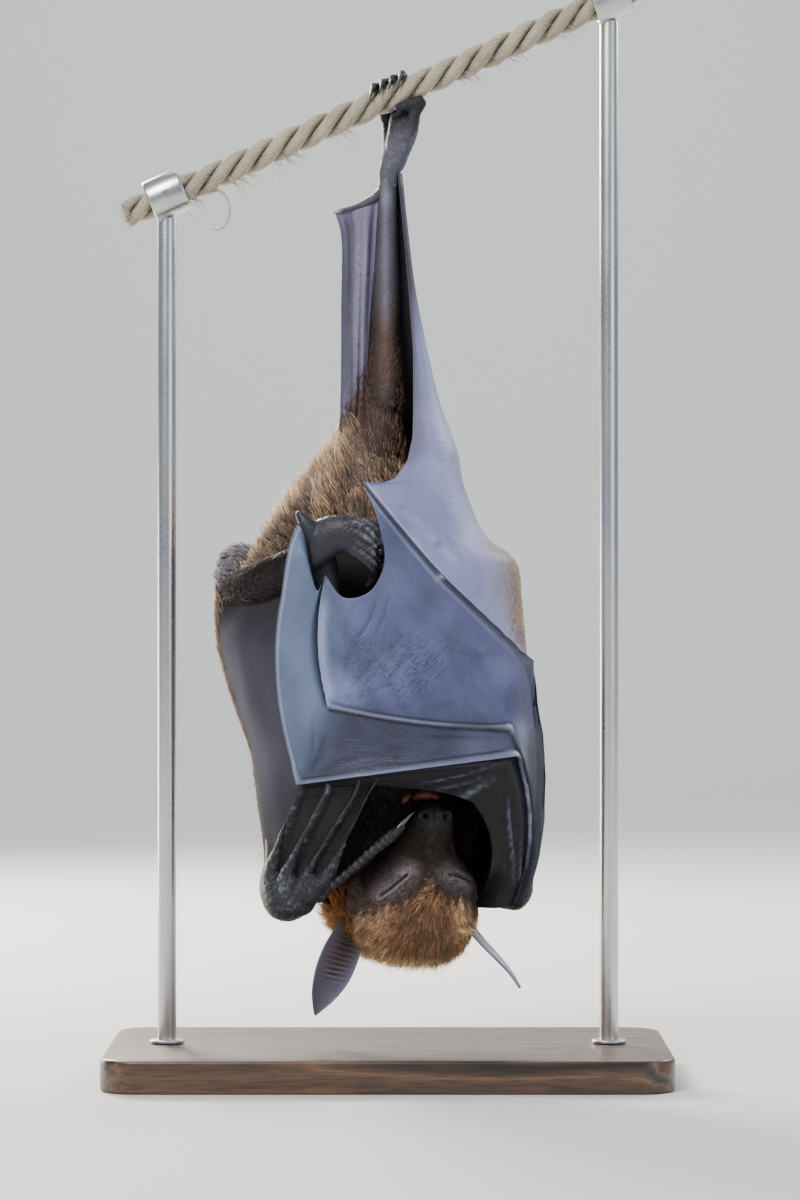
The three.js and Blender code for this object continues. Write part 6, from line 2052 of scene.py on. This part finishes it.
# Sides: down over the right elbow, painted golden where it faces right as if rim-lit, a brown fringe down
# the left edge, and a few long pale hairs.
at = planted(right_arm_grid, 2800, lambda at: fade(at.x, 45, 57) ** 2 * fade(at.z, 172, 194)
             * fall(at.z, 222, 240) * (at.y > -36), (0.4, 0, 0.3, 0.5), closed=False)
down = grown(at, (0.1, 0.2, 1.0), 2.2, 0.45, blended(DOWN_HAIR, VELVET_RIM_LIT_HAIR, fade(at.nx, 0.70, 0.95)),
             0.15, 7, 0.15, 0.3)
at = planted(left_arm_grid, 2500, lambda at: fade(at.z, 110, 180) * fade(at.y, -8, 2) * fall(at.y, 6, 20),
             (0.7, 0, 0.3, 0.5), closed=False)
fringe = grown(at, (-0.4, 0.2, 1.0), 3.6, 0.5, blended(LEG_HAIR, FLANK_BACKLIT_HAIR, 0.08), 0.24, pull=0.2)
at = planted(left_arm_grid, 260, lambda at: fade(at.y, -4, 4) * fall(at.y, 12, 20) * (at.z > 90)
             * (at.z < 130), (0.7, 0.5, 0.3, 0.5), closed=False)
wisps = grown(at, (-0.5, 0.6, -0.3), 7.0, 1.1, OUTLINE_HAIR, 0.12, 5)
coat_piece("shank_coat", [shank, elbow], body_finish)
coat_piece("side_coat", [down, fringe, wisps], body_finish)


# ------------------------------------------------------------------ floor, light and camera
# A pale studio sweep, a broad soft light from the upper left, a weaker one from the right, three
# narrow ones behind that catch the tips of the coat, and one that lights the backdrop.

CAMERA_AT = (5.16, -1800.0, 204.6)
LENS = 125.6
SWEEP = {"width": 9.0, "front": -3.0, "back": 2.5, "radius": 1.2, "height": 5.0}
FLOOR_PALE = (0.66, 0.66, 0.645, 1)
SKY = {"colour": (0.80, 0.88, 1.0, 1), "strength": 0.40}
SUBJECT = Vector((0, 0, 0.22))
BACKDROP = Vector((0, 3.7, 0.8))
# Each light's name, place, size, power, colour and what it is aimed at.
LIGHTS = (
    ("key", (-0.75, -1.25, 1.65), 0.9, 46.0, (1.0, 0.985, 0.96), SUBJECT),
    ("fill", (1.5, -1.5, 0.7), 1.4, 10.0, (0.86, 0.93, 1.0), SUBJECT),
    ("rim_left", (-0.58, 1.15, 0.80), 0.5, 42.0, (1.0, 0.93, 0.80), SUBJECT),
    ("rim_right", (0.95, 0.85, 0.95), 0.5, 12.0, (0.96, 0.97, 1.0), SUBJECT),
    ("rim_low", (-0.62, 0.55, 0.14), 0.3, 3.5, (1.0, 0.90, 0.72), SUBJECT),
    ("backdrop", (0.0, 1.6, 3.0), 2.0, 80.0, (1.0, 1.0, 1.0), BACKDROP),
)


def studio_sweep():
    """A floor that curves up into a back wall."""
    back, r, half = SWEEP["back"], SWEEP["radius"], SWEEP["width"] / 2
    turn = np.linspace(0, math.pi / 2, 14)
    line = [(SWEEP["front"], 0.0), *((back + r * math.sin(a), r - r * math.cos(a)) for a in turn),
            (back + r, SWEEP["height"])]
    points = np.array([(x, y, z) for y, z in line for x in (-half, half)])
    piece = mesh_piece("floor", points / MM, [grid_faces(len(line), 2, False)])
    finish, tree, shader = new_finish("studio_floor")
    feed(tree, shader, {"Base Color": FLOOR_PALE, "Roughness": 0.75})
    piece.data.materials.append(finish)
    return piece


studio_sweep()
for name, place, size, power, colour, aim in LIGHTS:
    lamp = bpy.data.lights.new(name, "AREA")
    lamp.shape, lamp.size, lamp.energy, lamp.color = "DISK", size, power, colour
    light = bpy.data.objects.new(name, lamp)
    light.location = place
    light.rotation_euler = (aim - Vector(place)).to_track_quat("-Z", "Y").to_euler()
    bpy.context.scene.collection.objects.link(light)
world = bpy.data.worlds.new("studio")
world.use_nodes = True
feed(world.node_tree, world.node_tree.nodes["Background"],
     {"Color": SKY["colour"], "Strength": SKY["strength"]})
bpy.context.scene.world = world

lens = bpy.data.cameras.new("camera")
lens.lens, lens.sensor_width, lens.sensor_fit = LENS, 36, "AUTO"
lens.clip_start, lens.clip_end = 0.05, 50
camera = bpy.data.objects.new("camera", lens)
camera.location = Vector(CAMERA_AT) * MM
camera.rotation_euler = (math.radians(90), 0, 0)
bpy.context.scene.collection.objects.link(camera)
bpy.context.scene.camera = camera
